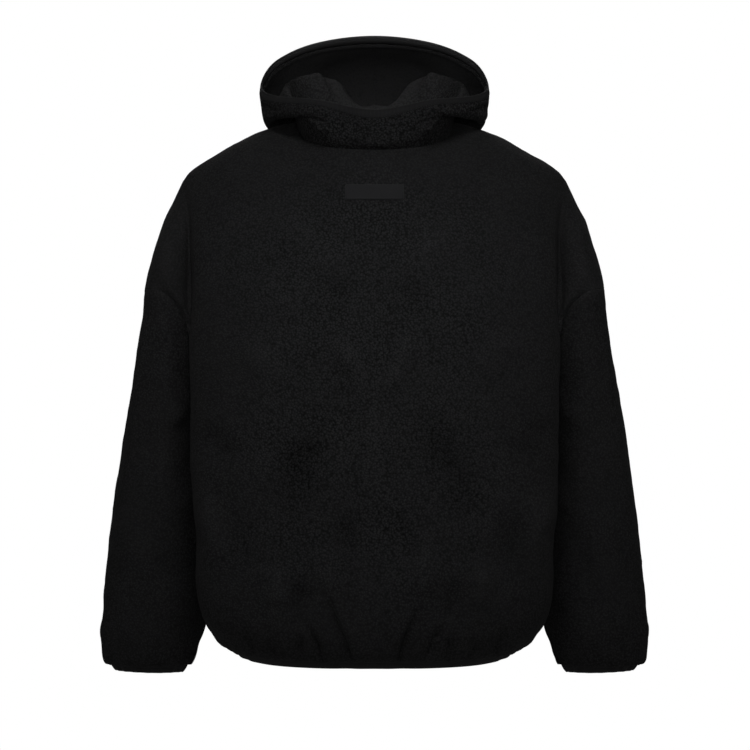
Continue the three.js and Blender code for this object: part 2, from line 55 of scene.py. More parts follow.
def table(columns, *rows):
    """Columns by name, from rows of numbers."""
    return dict(zip(columns.split(), np.array(rows, float).T))


# Sizes of the form, in millimetres
WALL = 3.0
NECK_HALF = 95
NECK_SIDE_Y, NECK_SIDE_Z = 10, 8
NECK_FRONT_Y, NECK_FRONT_Z = -100, -34
NECK_BACK_Y, NECK_BACK_Z = 80, 17
NECK_SQUARE = 0.5
RIDGE_Y = 14
CHEST_Z = -310
HEM_Z = -668
ROUNDNESS = 2.4
NECK_TURN = 29
UNDERARM_FLARE = 9
CLIMB = 1.6
FRONT_SLOPE, BACK_SLOPE = 50, 60
NECK_ARC, HEM_ARC = 101, 258
GATHER_WIDTH = 11
NECK_AT, FOLD_AT = 0.4, 0.8

SHOULDER = table(
    "half z",
    (95, 8), (118, 2.5), (140, -5), (165, -16), (190, -30), (219, -46), (236, -57), (245, -68),
)
ARMHOLE = {"outer": 292, "inner": 212, "top": -207, "under": -306, "depth": 82, "lean": 1.6, "droop": 4.5}
CAP_TOP, CAP_FRONT = 6, 15
TORSO = table(
    "z wing wing_y rear rear_y seam front back lift",
    (-668, 186, -12, 185, 28, 184, 130, 120, 12),
    (-658, 200, -22, 197, 36, 196, 142, 131, 11),
    (-640, 211, -36, 207, 50, 202, 151, 139, 8),
    (-612, 220, -48, 214, 66, 204, 155, 142, 5),
    (-575, 225, -56, 218, 76, 204, 155, 141, 3),
    (-520, 224, -60, 218, 80, 203, 153, 139, 1),
    (-440, 229, -60, 220, 84, 203, 152, 140, 0),
    (-310, 232, -60, 222, 85, 203, 150, 140, 0),
)
SLEEVE = table(
    "outer outer_z inner inner_z middle_y depth",
    (292, -207, 212, -306, 14, 82),
    (292, -218, 218, -311, 15, 82),
    (293, -240, 220, -326, 17, 80),
    (299, -272, 219.5, -350, 20, 76.5),
    (308, -318, 218.5, -385, 24, 72),
    (318, -370, 218, -425, 27, 68),
    (326.5, -424, 217.5, -468, 28, 65),
    (334.5, -478, 217, -512, 29, 63),
    (340.5, -530, 216.5, -553, 29, 63),
    (346, -578, 216, -590, 29, 63),
    (349, -618, 216, -622, 29, 63),
    (351.5, -648, 221, -646, 28, 60),
    (349, -666, 229.5, -665, 27, 53),
    (345.5, -677, 235.5, -677, 26, 43),
    (340, -681, 240, -684, 25, 34),
)
SLEEVE["ring"] = np.arange(15.0)
HOOD = table(
    "half front_y back_y z0 z30 z60 z90 z120 z150 z180",
    (104, -107, 88, -29.5, -21, 3, 29, 44, 45, 29),
    (112, -108, 100, -24, -8, 26, 52, 70, 70, 37),
    (121, -107, 114, -20, 2, 24, 42, 56, 51, 23),
    (131, -106, 124, -15, 6, 14, 18, 12, -22, -50),
    (134, -104.5, 142, -11, 9, 9.5, 4.5, -18, -76, -98),
    (140, -104, 178, -8, 12, 13, 10, -4, -48, -64),
    (142.5, -102, 190, -5, 15, 19, 25, 34, 30, 24),
    (144.5, -99, 166, -1, 18, 24, 36, 62, 82, 90),
    (146, -95, 95, 4, 21.5, 29, 45, 83, 109.5, 118.5),
    (145, -88, 95.5, 16, 29.5, 38, 56, 93, 118.5, 128),
)
FRONT_GATHERS = table(
    "at lean tall deep",
    (-258, -8, 40, 3.5), (-215, -10, 52, 4.5), (-186, -8, 34, 3), (-158, -12, 46, 4), (-129, -14, 30, 4.5),
    (-100, -2, 48, 4), (-72, -12, 56, 5.5), (-29, -30, 86, 6.5), (0, 4, 26, 2), (29, 24, 62, 6),
    (72, 14, 50, 5.5), (100, 4, 54, 4.5), (129, 12, 32, 4), (158, 10, 44, 4), (186, 8, 36, 3.5),
    (215, 10, 50, 4.5), (258, 8, 38, 3.5),
)
BACK_GATHERS = table(
    "at lean tall deep",
    (-244, -8, 44, 4), (-200, -12, 56, 4.5), (-158, -6, 36, 3.5), (-129, -14, 60, 5), (-86, -10, 42, 4.5),
    (-57, -16, 70, 5.5), (-14, -6, 48, 4), (14, 10, 38, 3), (57, 14, 64, 5.5), (100, 8, 46, 4.5),
    (129, 12, 54, 4), (172, 10, 40, 4), (215, 10, 52, 4.5), (250, 6, 34, 3),
)
HEM_BAND = {"tall": 12, "narrows": 0.957, "bulge": 1.5}
CUFF = {"tall": 14, "narrows": 0.86, "bulge": 1.5}
LABEL = {"wide": 72, "tall": 19, "top": -80, "thick": 1.5, "corner": 2.2}

# Soft troughs (deep > 0) and ridges (deep < 0), each from one place to another as seen from the front
# or the back: `bend` bows it sideways, and `foot` is the share of its depth at its first end.
FRONT_FOLDS = table(
    "x0 z0 x1 z1 wide deep bend foot",
    (-235, -262, -236, -74, 4.5, 3.0, 2, 0.4),
    (235, -262, 236, -74, 4.5, 3.0, -2, 0.4),
    (-260, -230, -256, -84, 14, -2.5, 0, 0),
    (260, -230, 256, -84, 14, -2.5, 0, 0),
    (-120, -112, 6, -206, 17, -5.0, 12, 0),
    (120, -112, -6, -206, 17, -5.0, -12, 0),
    (-40, -196, -46, -262, 17, 3.5, 4, 0.3),
    (40, -196, 46, -262, 17, 3.5, -4, 0.3),
    (-60, -250, -4, -366, 11, -5.0, -5, 0),
    (60, -250, 4, -366, 11, -5.0, 5, 0),
    (0, -336, -3, -490, 13, -4.5, 2, 0),
    (-50, -350, -118, -530, 22, 8.0, 8, 0),
    (52, -350, 120, -520, 22, 8.0, -8, 0),
    (-18, -470, -44, -560, 14, 4.0, 3, 0),
    (20, -476, 46, -556, 14, 4.0, -3, 0),
    (-150, -190, -96, -250, 18, -4.0, -5, 0),
    (152, -186, 98, -248, 18, -4.0, 5, 0),
    (-62, -520, -58, -596, 16, -6.0, 2, 0),
    (62, -520, 58, -594, 16, -6.0, -2, 0),
    (-122, -546, -120, -622, 16, -6.0, 0, 0),
    (130, -538, 134, -616, 16, -5.6, 0, 0),
    (-90, -560, -92, -640, 13, 5.0, 3, 0),
    (94, -560, 94, -640, 13, 5.0, -3, 0),
    (-222, -372, -160, -430, 18, 5.0, 6, 0),
    (222, -368, 162, -426, 18, 5.0, -6, 0),
    (-175, -260, -120, -340, 17, -3.5, -5, 0),
    (176, -260, 118, -338, 17, -3.5, 5, 0),
    (-212, -440, -186, -570, 15, -4.0, 4, 0),
    (212, -436, 190, -560, 15, -4.0, -4, 0),
    (-160, -470, -176, -590, 16, 4.0, 4, 0),
    (162, -466, 178, -586, 16, 4.0, -4, 0),
    (-62, -90, -42, -88, 6, 2.2, 1, 0.2),
    (62, -90, 42, -88, 6, 2.2, 1, 0.2),
    (-28, -668, -62, -582, 4.5, 5.4, 0, 1),
    (29, -668, 58, -590, 4.5, 5.4, 0, 1),
    (-62, -668, -86, -616, 4.5, 4.2, 0, 1),
    (60, -668, 86, -620, 4.5, 4.2, 0, 1),
    (-89, -668, -93, -630, 4.5, 3.2, 0, 1),
    (90, -668, 95, -628, 4.5, 3.2, 0, 1),
    (-115, -666, -134, -648, 4.0, 3.0, 1, 1),
    (116, -666, 132, -646, 4.0, 3.0, -1, 1),
    (-150, -660, -163, -628, 5, 2.6, 1, 1),
    (150, -660, 163, -628, 5, 2.6, -1, 1),
)
BACK_FOLDS = table(
    "x0 z0 x1 z1 wide deep bend foot",
    (-228, -250, -235, -74, 5, 3.0, 2, 0.5),
    (228, -250, 235, -74, 5, 3.0, -2, 0.5),
    (-256, -280, -256, -84, 15, -5.0, 0, 0),
    (256, -280, 256, -84, 15, -5.0, 0, 0),
    (-150, -60, -60, -120, 22, 3.5, 8, 0),
    (150, -60, 62, -124, 22, 3.5, 8, 0),
    (-178, -250, -90, -380, 24, 4.5, 10, 0),
    (180, -246, 96, -386, 24, 4.5, -10, 0),
    (-120, -240, -40, -350, 20, -3.5, 6, 0),
    (118, -236, 42, -356, 20, -3.5, -6, 0),
    (-40, -420, -110, -570, 24, 4.5, 6, 0),
    (46, -410, 118, -560, 24, 4.5, -8, 0),
    (4, -430, -8, -590, 22, -3.5, 5, 0),
    (-150, -480, -168, -600, 18, -4.0, 3, 0),
    (152, -470, 166, -604, 18, -4.0, -3, 0),
    (-84, -560, -88, -640, 14, 4.0, 2, 0),
    (88, -552, 92, -636, 14, 4.0, -2, 0),
    (-196, -330, -188, -440, 16, 3.0, -4, 0),
    (198, -326, 188, -446, 16, 3.0, 4, 0),
)
# On a sleeve the first coordinate is millimetres round the arm from its outer line, to the front if
# negative, and the second is the height.
SLEEVE_FOLDS = table(
    "x0 z0 x1 z1 wide deep bend foot",
    (-150, -268, -152, -650, 13, 6.0, 2, 0.2),
    (-150, -330, -96, -392, 12, 3.5, -4, 0.2),
    (-168, -372, -110, -470, 14, -3.0, 5, 0),
    (-172, -430, -104, -500, 12, 3.0, 4, 0),
    (-120, -500, -88, -600, 16, -3.0, 3, 0),
    (-58, -470, -40, -590, 18, 2.0, -4, 0),
    (-150, -560, -112, -640, 13, 3.0, 3, 0),
    (-70, -612, -62, -668, 9, 2.4, 1, 0.2),
    (-30, -600, -22, -668, 9, 2.2, -1, 0.2),
    (20, -300, 76, -392, 18, 3.0, 6, 0),
    (60, -420, 140, -470, 13, 4.0, 5, 0),
    (50, -462, 150, -506, 13, -3.5, 4, 0),
    (62, -500, 140, -548, 12, 4.0, 6, 0),
    (150, -330, 92, -380, 12, 3.5, 4, 0.2),
    (36, -590, 54, -664, 10, 2.6, 2, 0.2),
    (104, -580, 110, -664, 11, 3.0, -2, 0.2),
)

# On the hood the first coordinate is millimetres round it from the front, alike on both sides, and
# the second is its level times twenty.
HOOD_FOLDS = table(
    "x0 z0 x1 z1 wide deep bend foot",
    (252, 46, 286, 12, 7, 3.5, 2, 0.2),
    (296, 42, 346, 42, 12, -6.0, 0, 0),
    (186, 34, 246, 40, 15, -2.0, 2, 0),
    (60, 22, 86, 56, 12, -3.5, 1, 0),
    (104, 130, 150, 172, 8, 1.6, 3, 0),
    (118, 112, 176, 140, 8, -1.4, 3, 0),
    (252, 120, 268, 178, 16, 2.2, 4, 0),
    (300, 118, 312, 176, 16, -2.2, -4, 0),
    (330, 70, 300, 104, 12, 2.2, 3, 0),
    (228, 66, 240, 108, 12, 2.0, -3, 0),
)


# Numbers and curves
def lerp(a, b, t):
    return a + (b - a) * t


def smooth(t):
    t = np.clip(t, 0, 1)
    return t * t * (3 - 2 * t)


def joined(*parts):
    """Steps of a grid: each part is (start, end, count), and joins the one before."""
    steps = [np.linspace(a, b, n + 1)[1:] for a, b, n in parts]
    return np.concatenate([[parts[0][0]], *steps])


def point(x, y, z):
    """Points, from arrays or numbers that broadcast together."""
    return np.stack(np.broadcast_arrays(x, y, z), axis=-1).astype(float)


def along(keys, values, at):
    """Cubic through the rows of a table: a row's slope is its neighbours' rise over their distance."""
    keys, values, at = np.asarray(keys, float), np.asarray(values, float), np.ravel(at).astype(float)
    last = len(keys) - 1
    tail = (-1,) + (1,) * (values.ndim - 1)
    row = np.arange(last + 1)
    before, after = np.maximum(row - 1, 0), np.minimum(row + 1, last)
    slope = (values[after] - values[before]) / (keys[after] - keys[before]).reshape(tail)
    k = np.clip(np.searchsorted(keys, at, side="left") - 1, 0, last - 1)
    span = (keys[k + 1] - keys[k]).reshape(tail)
    t = np.clip((at - keys[k]).reshape(tail) / span, 0, 1)
    rise = values[k + 1] - values[k]
    ends = t * (1 - t) ** 2 * span * slope[k] - t * t * (1 - t) * span * slope[k + 1]
    return values[k] + t * t * (3 - 2 * t) * rise + ends


def lumps(place, size, seed):
    """Smooth noise from -1 to 1: a random value at each corner of cubes of this size, blended between
    them by the smoothstep of the place inside the cube."""
    cell = np.floor(place / size).astype(np.int64)
    inside = smooth(place / size - cell)
    total = 0
    for corner in np.ndindex(2, 2, 2):
        c = cell + corner
        h = (c[..., 0] * 73856093) ^ (c[..., 1] * 19349663) ^ (c[..., 2] * 83492791) ^ (seed * 265443576)
        h = ((h & 0xFFFFFFFF) ^ ((h & 0xFFFFFFFF) >> 13)) * 1274126177 & 0xFFFFFFFF
        value = (h ^ (h >> 16)) / 2**31 - 1
        total = total + value * np.prod(np.where(corner, inside, 1 - inside), axis=-1)
    return total


def folds(rows, x, z):
    """Relief of a table of folds at places x, z: each is a bell across its line, which bows by `bend`
    at its middle and fades towards both ends, and is a little uneven along its length."""
    total = np.zeros_like(x)
    for x0, z0, x1, z1, wide, deep, bend, foot in zip(*(rows[c] for c in "x0 z0 x1 z1 wide deep bend foot".split())):
        dx, dz = x1 - x0, z1 - z0
        length = math.hypot(dx, dz)
        t = ((x - x0) * dx + (z - z0) * dz) / length**2
        wander = 0.12 * wide * np.sin(t * 9 + x0) + 0.08 * wide * np.sin(t * 21 + z0)
        off = ((x - x0) * dz - (z - z0) * dx) / length - bend * 4 * t * (1 - t) + wander
        fade = smooth(lerp(foot, 1, np.clip(t / 0.4, 0, 1))) * smooth((1 - t) / 0.45)
        fade = fade * np.exp(-np.maximum(-t * length, 0) ** 2 / wide**2)
        uneven = 1 + 0.2 * np.sin(t * 6 + z1) + 0.12 * np.sin(t * 15 + x1)
        total -= deep * uneven * fade * np.exp(-((off / wide) ** 2))
    return total


# Forms of the garment, all on the middle of the cloth
def neckline(angle, front):
    """An ellipse in plan: angle 0 is the middle front or back, and a quarter turn is the side."""
    c = np.maximum(np.cos(angle), 0)
    y, z = (NECK_FRONT_Y, NECK_FRONT_Z) if front else (NECK_BACK_Y, NECK_BACK_Z)
    height = c**NECK_SQUARE if front else c
    return point(NECK_HALF * np.sin(angle), lerp(NECK_SIDE_Y, y, c), lerp(NECK_SIDE_Z, z, height))


def armhole(angle, front):
    """A drooping ring: angle 0 is its top, outside the arm, and half a turn the underarm."""
    inward = (1 - np.cos(angle)) / 2
    depth = ARMHOLE["depth"] * np.sin(angle)
    return point(
        lerp(ARMHOLE["outer"], ARMHOLE["inner"], inward ** ARMHOLE["lean"]),
        RIDGE_Y - depth if front else RIDGE_Y + depth,
        lerp(ARMHOLE["top"], ARMHOLE["under"], inward ** ARMHOLE["droop"]),
    )


def spread(across, neck, fold):
    """0 at the middle, `neck` at the neck's side and `fold` at the fold beside the arm."""
    outer = lerp(neck, fold, np.clip((across - NECK_AT) / (FOLD_AT - NECK_AT), 0, 1))
    return np.where(across < NECK_AT, neck * across / NECK_AT, outer)


def torso(across, z, front):
    """Rows of heights z by columns from the middle, 0, to the side seam, 1: a superellipse to the
    fold beside the arm, then a cosine tuck back in to the seam."""
    z = np.ravel(z)
    at = {c: along(TORSO["z"], TORSO[c], z)[:, None] for c in TORSO if c != "z"}
    wing, wing_y = (at["wing"], at["wing_y"]) if front else (at["rear"], at["rear_y"])
    depth = -at["front"] if front else at["back"]
    near = np.exp((z - CHEST_Z) / UNDERARM_FLARE)[:, None]
    seam = at["seam"] + UNDERARM_FLARE * near
    turn = np.radians(spread(across, NECK_TURN, 90))
    power = 2 / ROUNDNESS
    x = wing * np.sin(turn) ** power
    y = lerp(wing_y, depth, np.maximum(np.cos(turn), 0) ** power)
    q = np.clip((across - FOLD_AT) / (1 - FOLD_AT), 0, 1)
    x = np.where(q > 0, lerp(wing, seam, (1 - np.cos(np.pi * q)) / 2), x)
    y = np.where(q > 0, lerp(wing_y, RIDGE_Y, q), y)
    height = z[:, None] + at["lift"] * np.sin(turn) ** 5 + (ARMHOLE["under"] - CHEST_Z) * q * q * near
    return point(x, y, height)


def yoke(across, climb, front):
    """Rows from the chest, climb 0, to the neckline and shoulder seam, 1: elliptical arcs over the
    shoulder, and past the fold a blend to the armhole with a full, rounded cap."""
    climb = np.ravel(climb)[:, None]
    rise = climb**CLIMB
    inside = np.minimum(across, FOLD_AT)
    chest = torso(inside, [CHEST_Z], front)
    t = np.clip(inside / NECK_AT, 0, 1)
    neck = neckline(np.radians(90) * t, front)
    u = np.clip((inside - NECK_AT) / (FOLD_AT - NECK_AT), 0, 1)
    half = lerp(NECK_HALF, SHOULDER["half"][-1], u)
    ridge = point(half, lerp(NECK_SIDE_Y, RIDGE_Y, u), along(SHOULDER["half"], SHOULDER["z"], half))
    top = np.where((inside <= NECK_AT)[:, None], neck, ridge)
    bend = np.radians(lerp(FRONT_SLOPE if front else BACK_SLOPE, 90, smooth(t)))
    turn = bend * rise
    level = (np.cos(turn) - np.cos(bend)) / (1 - np.cos(bend))
    x = lerp(chest[..., 0], top[:, 0], rise**2)
    y = lerp(top[:, 1], chest[..., 1], level)
    made = point(x, y, lerp(chest[..., 2], top[:, 2], np.sin(turn) / np.sin(bend)))
    q = np.clip((across - FOLD_AT) / (1 - FOLD_AT), 0, 1)
    ring = armhole(np.pi * (1 - climb), front)
    cap = lerp(made, ring, q[:, None])
    near = np.exp(-climb * 10) * (1 - climb) * (1 - q)
    cap = lerp(cap, torso(across, [CHEST_Z], front), near[..., None])
    out = np.stack([cap[..., 0] - NECK_HALF * 2.5, cap[..., 1] - RIDGE_Y], axis=-1)
    out = out / np.linalg.norm(out, axis=-1, keepdims=True)
    full = lerp(CAP_FRONT, CAP_TOP, smooth(2 * climb - 1)) * np.sin(np.pi * q) * smooth(climb * 1.5)
    cap[..., :2] += out * full[..., None]
    return np.where((across > FOLD_AT)[:, None], cap, made)


def sleeve_form(ring, angle, front):
    """Rings down the arm by angles round it, as the armhole's, with gathers above the cuff and a
    soft ridge down the front."""
    at = {c: along(SLEEVE["ring"], SLEEVE[c], ring)[:, None] for c in SLEEVE if c != "ring"}
    inward = (1 - np.cos(angle)) / 2
    straight = smooth(np.ravel(ring) / 6)[:, None]
    x = lerp(at["outer"], at["inner"], inward ** lerp(ARMHOLE["lean"], 1, straight))
    slack = straight * np.where(angle > np.pi / 2, 1.1, 0)
    depth = at["depth"] * np.maximum(np.sin(angle), 0) ** (1 + slack)
    y = np.where(front, at["middle_y"] - depth, at["middle_y"] + depth)
    z = lerp(at["outer_z"], at["inner_z"], inward ** lerp(ARMHOLE["droop"], 1, straight))
    deep = 2.2 * (1 + np.cos(18 * angle)) / 2 * (1 - smooth((z - SLEEVE["outer_z"][-1]) / 34))
    settled = smooth(np.ravel(ring) / 2)[:, None] * (1 - smooth((-450 - z) / 90))
    ridge = np.where(front, 4 * np.exp(-(((np.degrees(angle) - 42) / 16) ** 2)), 0) * settled
    out = np.stack([x - (at["outer"] + at["inner"]) / 2, y - at["middle_y"]], axis=-1)
    out = out / np.linalg.norm(out, axis=-1, keepdims=True)
    made = point(x, y, z)
    made[..., :2] += out * (ridge - deep)[..., None]
    return made


def hood_form(levels, turn):
    """Levels of the hood's table by turns from -pi to pi, 0 at the front: each level is an ellipse in
    plan with heights every 30 degrees, and a cubic joins the levels from the neckline on."""
    angle = np.abs(turn)
    front = angle <= np.pi / 2
    seam = np.where(front[:, None], neckline(angle, True), neckline(np.pi - angle, False))
    stations = np.arange(-30, 211, 30)
    mirrored = [30, 0, 30, 60, 90, 120, 150, 180, 150]
    rows = [seam]
    for k in range(len(HOOD["half"])):
        heights = [HOOD[f"z{m}"][k] for m in mirrored]
        away = lerp(NECK_SIDE_Y, np.where(front, HOOD["front_y"][k], HOOD["back_y"][k]), np.abs(np.cos(angle)))
        rows.append(point(HOOD["half"][k] * np.sin(angle), away, along(stations, heights, np.degrees(angle))))
    made = along(np.arange(len(rows)), np.stack(rows), levels)
    made[..., 0] *= np.sign(turn)
    return made


# Meshes
def normals(grid, loop, turned):
    """Outward directions: the cross product of the differences along the rows and the columns."""
    if loop:
        across = np.roll(grid, -1, axis=1) - np.roll(grid, 1, axis=1)
    else:
        across = np.gradient(grid, axis=1)
    n = np.cross(across, np.gradient(grid, axis=0))
    n /= np.maximum(np.linalg.norm(n, axis=-1, keepdims=True), 1e-12)
    return -n if turned else n


def lengths(grid, axis):
    """Distance along the grid from its first row or column."""
    step = np.linalg.norm(np.diff(grid, axis=axis), axis=-1)
    return np.concatenate([np.zeros_like(np.take(step, [0], axis=axis)), np.cumsum(step, axis=axis)], axis=axis)


def from_borders(grid, loop):
    """Distance of each point from the nearest border of its sheet, along the grid."""
    v = lengths(grid, 0)
    near = np.minimum(v, v[-1] - v)
    if loop:
        return near
    u = lengths(grid, 1)
    return np.minimum(near, np.minimum(u, u[:, -1:] - u))


def relieved(grid, amount, loop, turned):
    """The grid with each point moved out along its direction by this amount."""
    return grid + normals(grid, loop, turned) * amount[..., None]


def new_object(name, points, quads, uv=None, marks=None):
    """An object at the origin from points in millimetres and faces of four corners."""
    mesh = bpy.data.meshes.new(name)
    mesh.vertices.add(len(points))
    mesh.vertices.foreach_set("co", (points * MM).astype(np.float32).ravel())
    mesh.loops.add(quads.size)
    mesh.loops.foreach_set("vertex_index", quads.astype(np.int32).ravel())
    mesh.polygons.add(len(quads))
    mesh.polygons.foreach_set("loop_start", np.arange(0, quads.size, 4, dtype=np.int32))
    mesh.polygons.foreach_set("use_smooth", np.ones(len(quads), bool))
    mesh.update(calc_edges=True)
    if uv is not None:
        layer = mesh.uv_layers.new(name="cloth")
        layer.data.foreach_set("uv", (uv * MM).astype(np.float32).ravel())
    for key, values in (marks or {}).items():
        mark = mesh.attributes.new(key, "FLOAT", "POINT")
        mark.data.foreach_set("value", values.astype(np.float32).ravel())
    mesh.validate()
    made = bpy.data.objects.new(name, mesh)
    bpy.context.scene.collection.objects.link(made)
    return made


def cloth(name, grid, loop=False, turned=False, rounding=3.5, thin=0.8, inside=0.0, pile=1.0, paler=(0, 0)):
    """A closed wall from the grid of its middle: two faces, half a thickness out and in along the
    grid's directions, that draw together towards the borders as a quarter circle does, and strips
    that close the borders. `inside` is relief of the inner face, and the UV map holds distances along
    the columns and the rows."""
    rows, columns = grid.shape[:2]
    n = normals(grid, loop, turned)
    border = from_borders(grid, loop)
    share = np.clip(border / rounding, 0, 1)
    reach = WALL / 2 * lerp(thin, 1, np.sqrt(1 - (1 - share) ** 2))
    outer = grid + n * reach[..., None]
    inner = grid - n * (reach + inside)[..., None]
    points = np.concatenate([outer.reshape(-1, 3), inner.reshape(-1, 3)])
    count = rows * columns
    wide = columns if loop else columns - 1
    i, j = np.meshgrid(np.arange(rows - 1), np.arange(wide), indexing="ij")
    k = (j + 1) % columns
    corners = [i * columns + j, i * columns + k, (i + 1) * columns + k, (i + 1) * columns + j]
    face = np.stack(corners, axis=-1).reshape(-1, 4)
    ring = np.concatenate([grid, grid[:, :1]], axis=1) if loop else grid
    u, v = np.broadcast_to(lengths(ring, 1).mean(axis=0), ring.shape[:2]), lengths(ring, 0)
    place = np.stack([u, v], axis=-1)
    face_uv = np.stack([place[i, j], place[i, j + 1], place[i + 1, j + 1], place[i + 1, j]], axis=2).reshape(-1, 4, 2)

    def strip(p, q, p_uv, q_uv):
        return np.stack([p, p + count, q + count, q], axis=-1), np.stack([p_uv, p_uv, q_uv, q_uv], axis=1)

    j = np.arange(wide)
    k = (j + 1) % columns
    last = (rows - 1) * columns
    strips = [
        strip(j, k, place[0, :wide], place[0, 1 : wide + 1]),
        strip(last + k, last + j, place[-1, 1 : wide + 1], place[-1, :wide]),
    ]
    if not loop:
        i = np.arange(rows - 1)
        end = columns - 1
        strips.append(strip(i * columns + end, (i + 1) * columns + end, place[:-1, -1], place[1:, -1]))
        strips.append(strip((i + 1) * columns, i * columns, place[1:, 0], place[:-1, 0]))
    quads = np.concatenate([face, face[:, ::-1] + count, *(s[0] for s in strips)])
    uv = np.concatenate([face_uv, face_uv[:, ::-1], *(s[1] for s in strips)])
    if turned:
        quads, uv = quads[:, ::-1], uv[:, ::-1]
    seam = np.exp(-border / 2.0).ravel()
    depth = np.broadcast_to(pile, border.shape).ravel()
    # `paler` lightens each face's colour where it is above 0 and darkens it where it is below 0: the pieces put painted
    # light and shade in it, and the hem and cuff bands an even lighter tone.
    outer_pale, inner_pale = (np.broadcast_to(pale, border.shape).ravel() for pale in paler)
    marks = {
        "seam": np.concatenate([seam, seam]),
        "pile": np.concatenate([depth, depth]),
        "pale": np.concatenate([outer_pale, inner_pale]),
    }
    return new_object(name, points, quads, uv, marks)


def stitches(name, path, out, length, gap, radius, lift):
    """A row of stitches along a path: each is a thread of six sides that bows up from the cloth as a
    half sine and narrows to its two ends."""
    step = np.linalg.norm(np.diff(path, axis=0), axis=1)
    s = np.concatenate([[0], np.cumsum(step)])
    count = int(s[-1] // (length + gap))
    start = (np.arange(count) + 0.5) * s[-1] / count - length / 2
    t = np.linspace(0, 1, 6)
    at = start[:, None] + t * length
    centre = np.stack([np.interp(at, s, path[:, c]) for c in range(3)], axis=-1)
    up = np.stack([np.interp(at, s, out[:, c]) for c in range(3)], axis=-1)
    up /= np.linalg.norm(up, axis=-1, keepdims=True)
    centre = centre + up * (lift * np.sin(np.pi * t) - 0.3 * radius)[:, None]
    ahead = np.gradient(centre, axis=1)
    ahead /= np.linalg.norm(ahead, axis=-1, keepdims=True)
    side = np.cross(ahead, up)
    thick = radius * np.sqrt(np.clip(np.sin(np.pi * lerp(0.06, 0.94, t)), 0, 1))[:, None, None]
    turn = np.linspace(0, 2 * np.pi, 6, endpoint=False)[:, None]
    around = side[:, :, None] * np.cos(turn) + up[:, :, None] * np.sin(turn)
    points = (centre[:, :, None] + around * thick).reshape(-1, 3)
    i, j = np.meshgrid(np.arange(5), np.arange(6), indexing="ij")
    k = (j + 1) % 6
    one = np.stack([i * 6 + j, i * 6 + k, (i + 1) * 6 + k, (i + 1) * 6 + j], axis=-1).reshape(-1, 4)
    caps = np.array([[0, 1, 2, 3], [0, 3, 4, 5], [33, 32, 31, 30], [35, 34, 33, 30]])
    one = np.concatenate([one, caps])
    quads = (one[None] + 36 * np.arange(count)[:, None, None]).reshape(-1, 4)
    return new_object(name, points, quads)


# Pieces
def panel_grid(front):
    """The front or back panel's grid, from the hem seam up to the neckline."""
    side = joined((0, 0.4, 33), (0.4, 0.8, 52), (0.8, 0.985, 18), (0.985, 1, 4))
    lower = joined((HEM_Z, HEM_Z + 5, 4), (HEM_Z + 5, CHEST_Z, 110))
    s = joined((0, 0.985, 86), (0.985, 1, 3))[1:]
    half = np.concatenate([torso(side, lower, front), yoke(side, s**0.85, front)])
    gathers = FRONT_GATHERS if front else BACK_GATHERS
    grid = np.concatenate([half[:, :0:-1] * [-1, 1, 1], half], axis=1)
    across = np.concatenate([-side[:0:-1], side])
    place = np.sign(across) * spread(np.abs(across), NECK_ARC, HEM_ARC)
    height = (lower - HEM_Z)[:, None]
    deep = np.zeros((len(lower), len(across)))
    for at, lean, tall, much in zip(*(gathers[c] for c in ("at", "lean", "tall", "deep"))):
        up = np.clip(height / tall, 0, 1)
        width = GATHER_WIDTH * (0.82 + 0.3 * up)
        deep += much * np.exp(-(((place - at - lean * up) / width) ** 2)) * (1 - smooth(up))
    deep *= 1 - smooth((np.abs(across) - FOLD_AT) / (1 - FOLD_AT))
    inward = -grid[: len(lower), :, :2]
    inward = inward / np.linalg.norm(inward, axis=-1, keepdims=True)
    grid[: len(lower), :, :2] += inward * deep[..., None]
    return grid


def quilted(grid, loop, keep, coarse, medium, fine, seed):
    """Uneven relief of a soft, thick pile: three sizes of lumps, faded by `keep`."""
    amount = coarse * lumps(grid, 70, seed) + medium * lumps(grid, 24, seed + 1) + fine * lumps(grid, 7.5, seed + 2)
    return amount * keep


def softened(grid, near, rounds):
    """The grid with its columns blended with their neighbours, again and again, where `near` is 1."""
    for _ in range(rounds):
        mean = (grid[:, :-2] + 2 * grid[:, 1:-1] + grid[:, 2:]) / 4
        grid[:, 1:-1] += near[:, 1:-1, None] * (mean - grid[:, 1:-1])
    return grid


def overhung(grid, far, deep, proud):
    """The grid's rows beside an elastic band, `far` millimetres from its seam, let down over the band
    and out: the cloth rolls over and tucks back up to the seam."""
    share = smooth(far / 5) * smooth((34 - far) / 26)
    middle = grid.reshape(-1, 3)[:, :2].mean(axis=0)
    out = grid[..., :2] - middle
    out /= np.linalg.norm(out, axis=-1, keepdims=True)
    grid[..., :2] += out * (proud * share)[..., None]
    grid[..., 2] -= deep * share
    return grid


def panel_sheet(front, settings):
    grid = panel_grid(front)
    columns = np.abs(np.linspace(-107, 107, 215))
    top = lengths(grid, 0)
    near = np.exp(-(((columns - 33) / 14) ** 2)) * smooth((top[-1] - top) / 30)
    grid = softened(grid, near, 120)
    side = lengths(grid, 1)
    side = np.minimum(side, side[:, -1:] - side)
    top = lengths(grid, 0)
    top = top[-1] - top
    keep = smooth(np.minimum(side, top) / 14)
    rows = FRONT_FOLDS if front else BACK_FOLDS
    amount = folds(rows, grid[..., 0], grid[..., 2]) * settings.fold_depth * keep
    amount += quilted(grid, False, keep, 1.6, 0.7, 0.35, 11 if front else 23)
    if front:
        off = np.maximum(np.abs(grid[..., 0]) - 36, np.abs(grid[..., 2] + 89.5) - 9.5)
        amount *= smooth((off + 1) / 9)
    amount *= smooth((lengths(grid, 0) - 4) / 18)
    grid = relieved(grid, amount, False, not front)
    return overhung(grid, lengths(grid, 0), 5.5, 1.5)


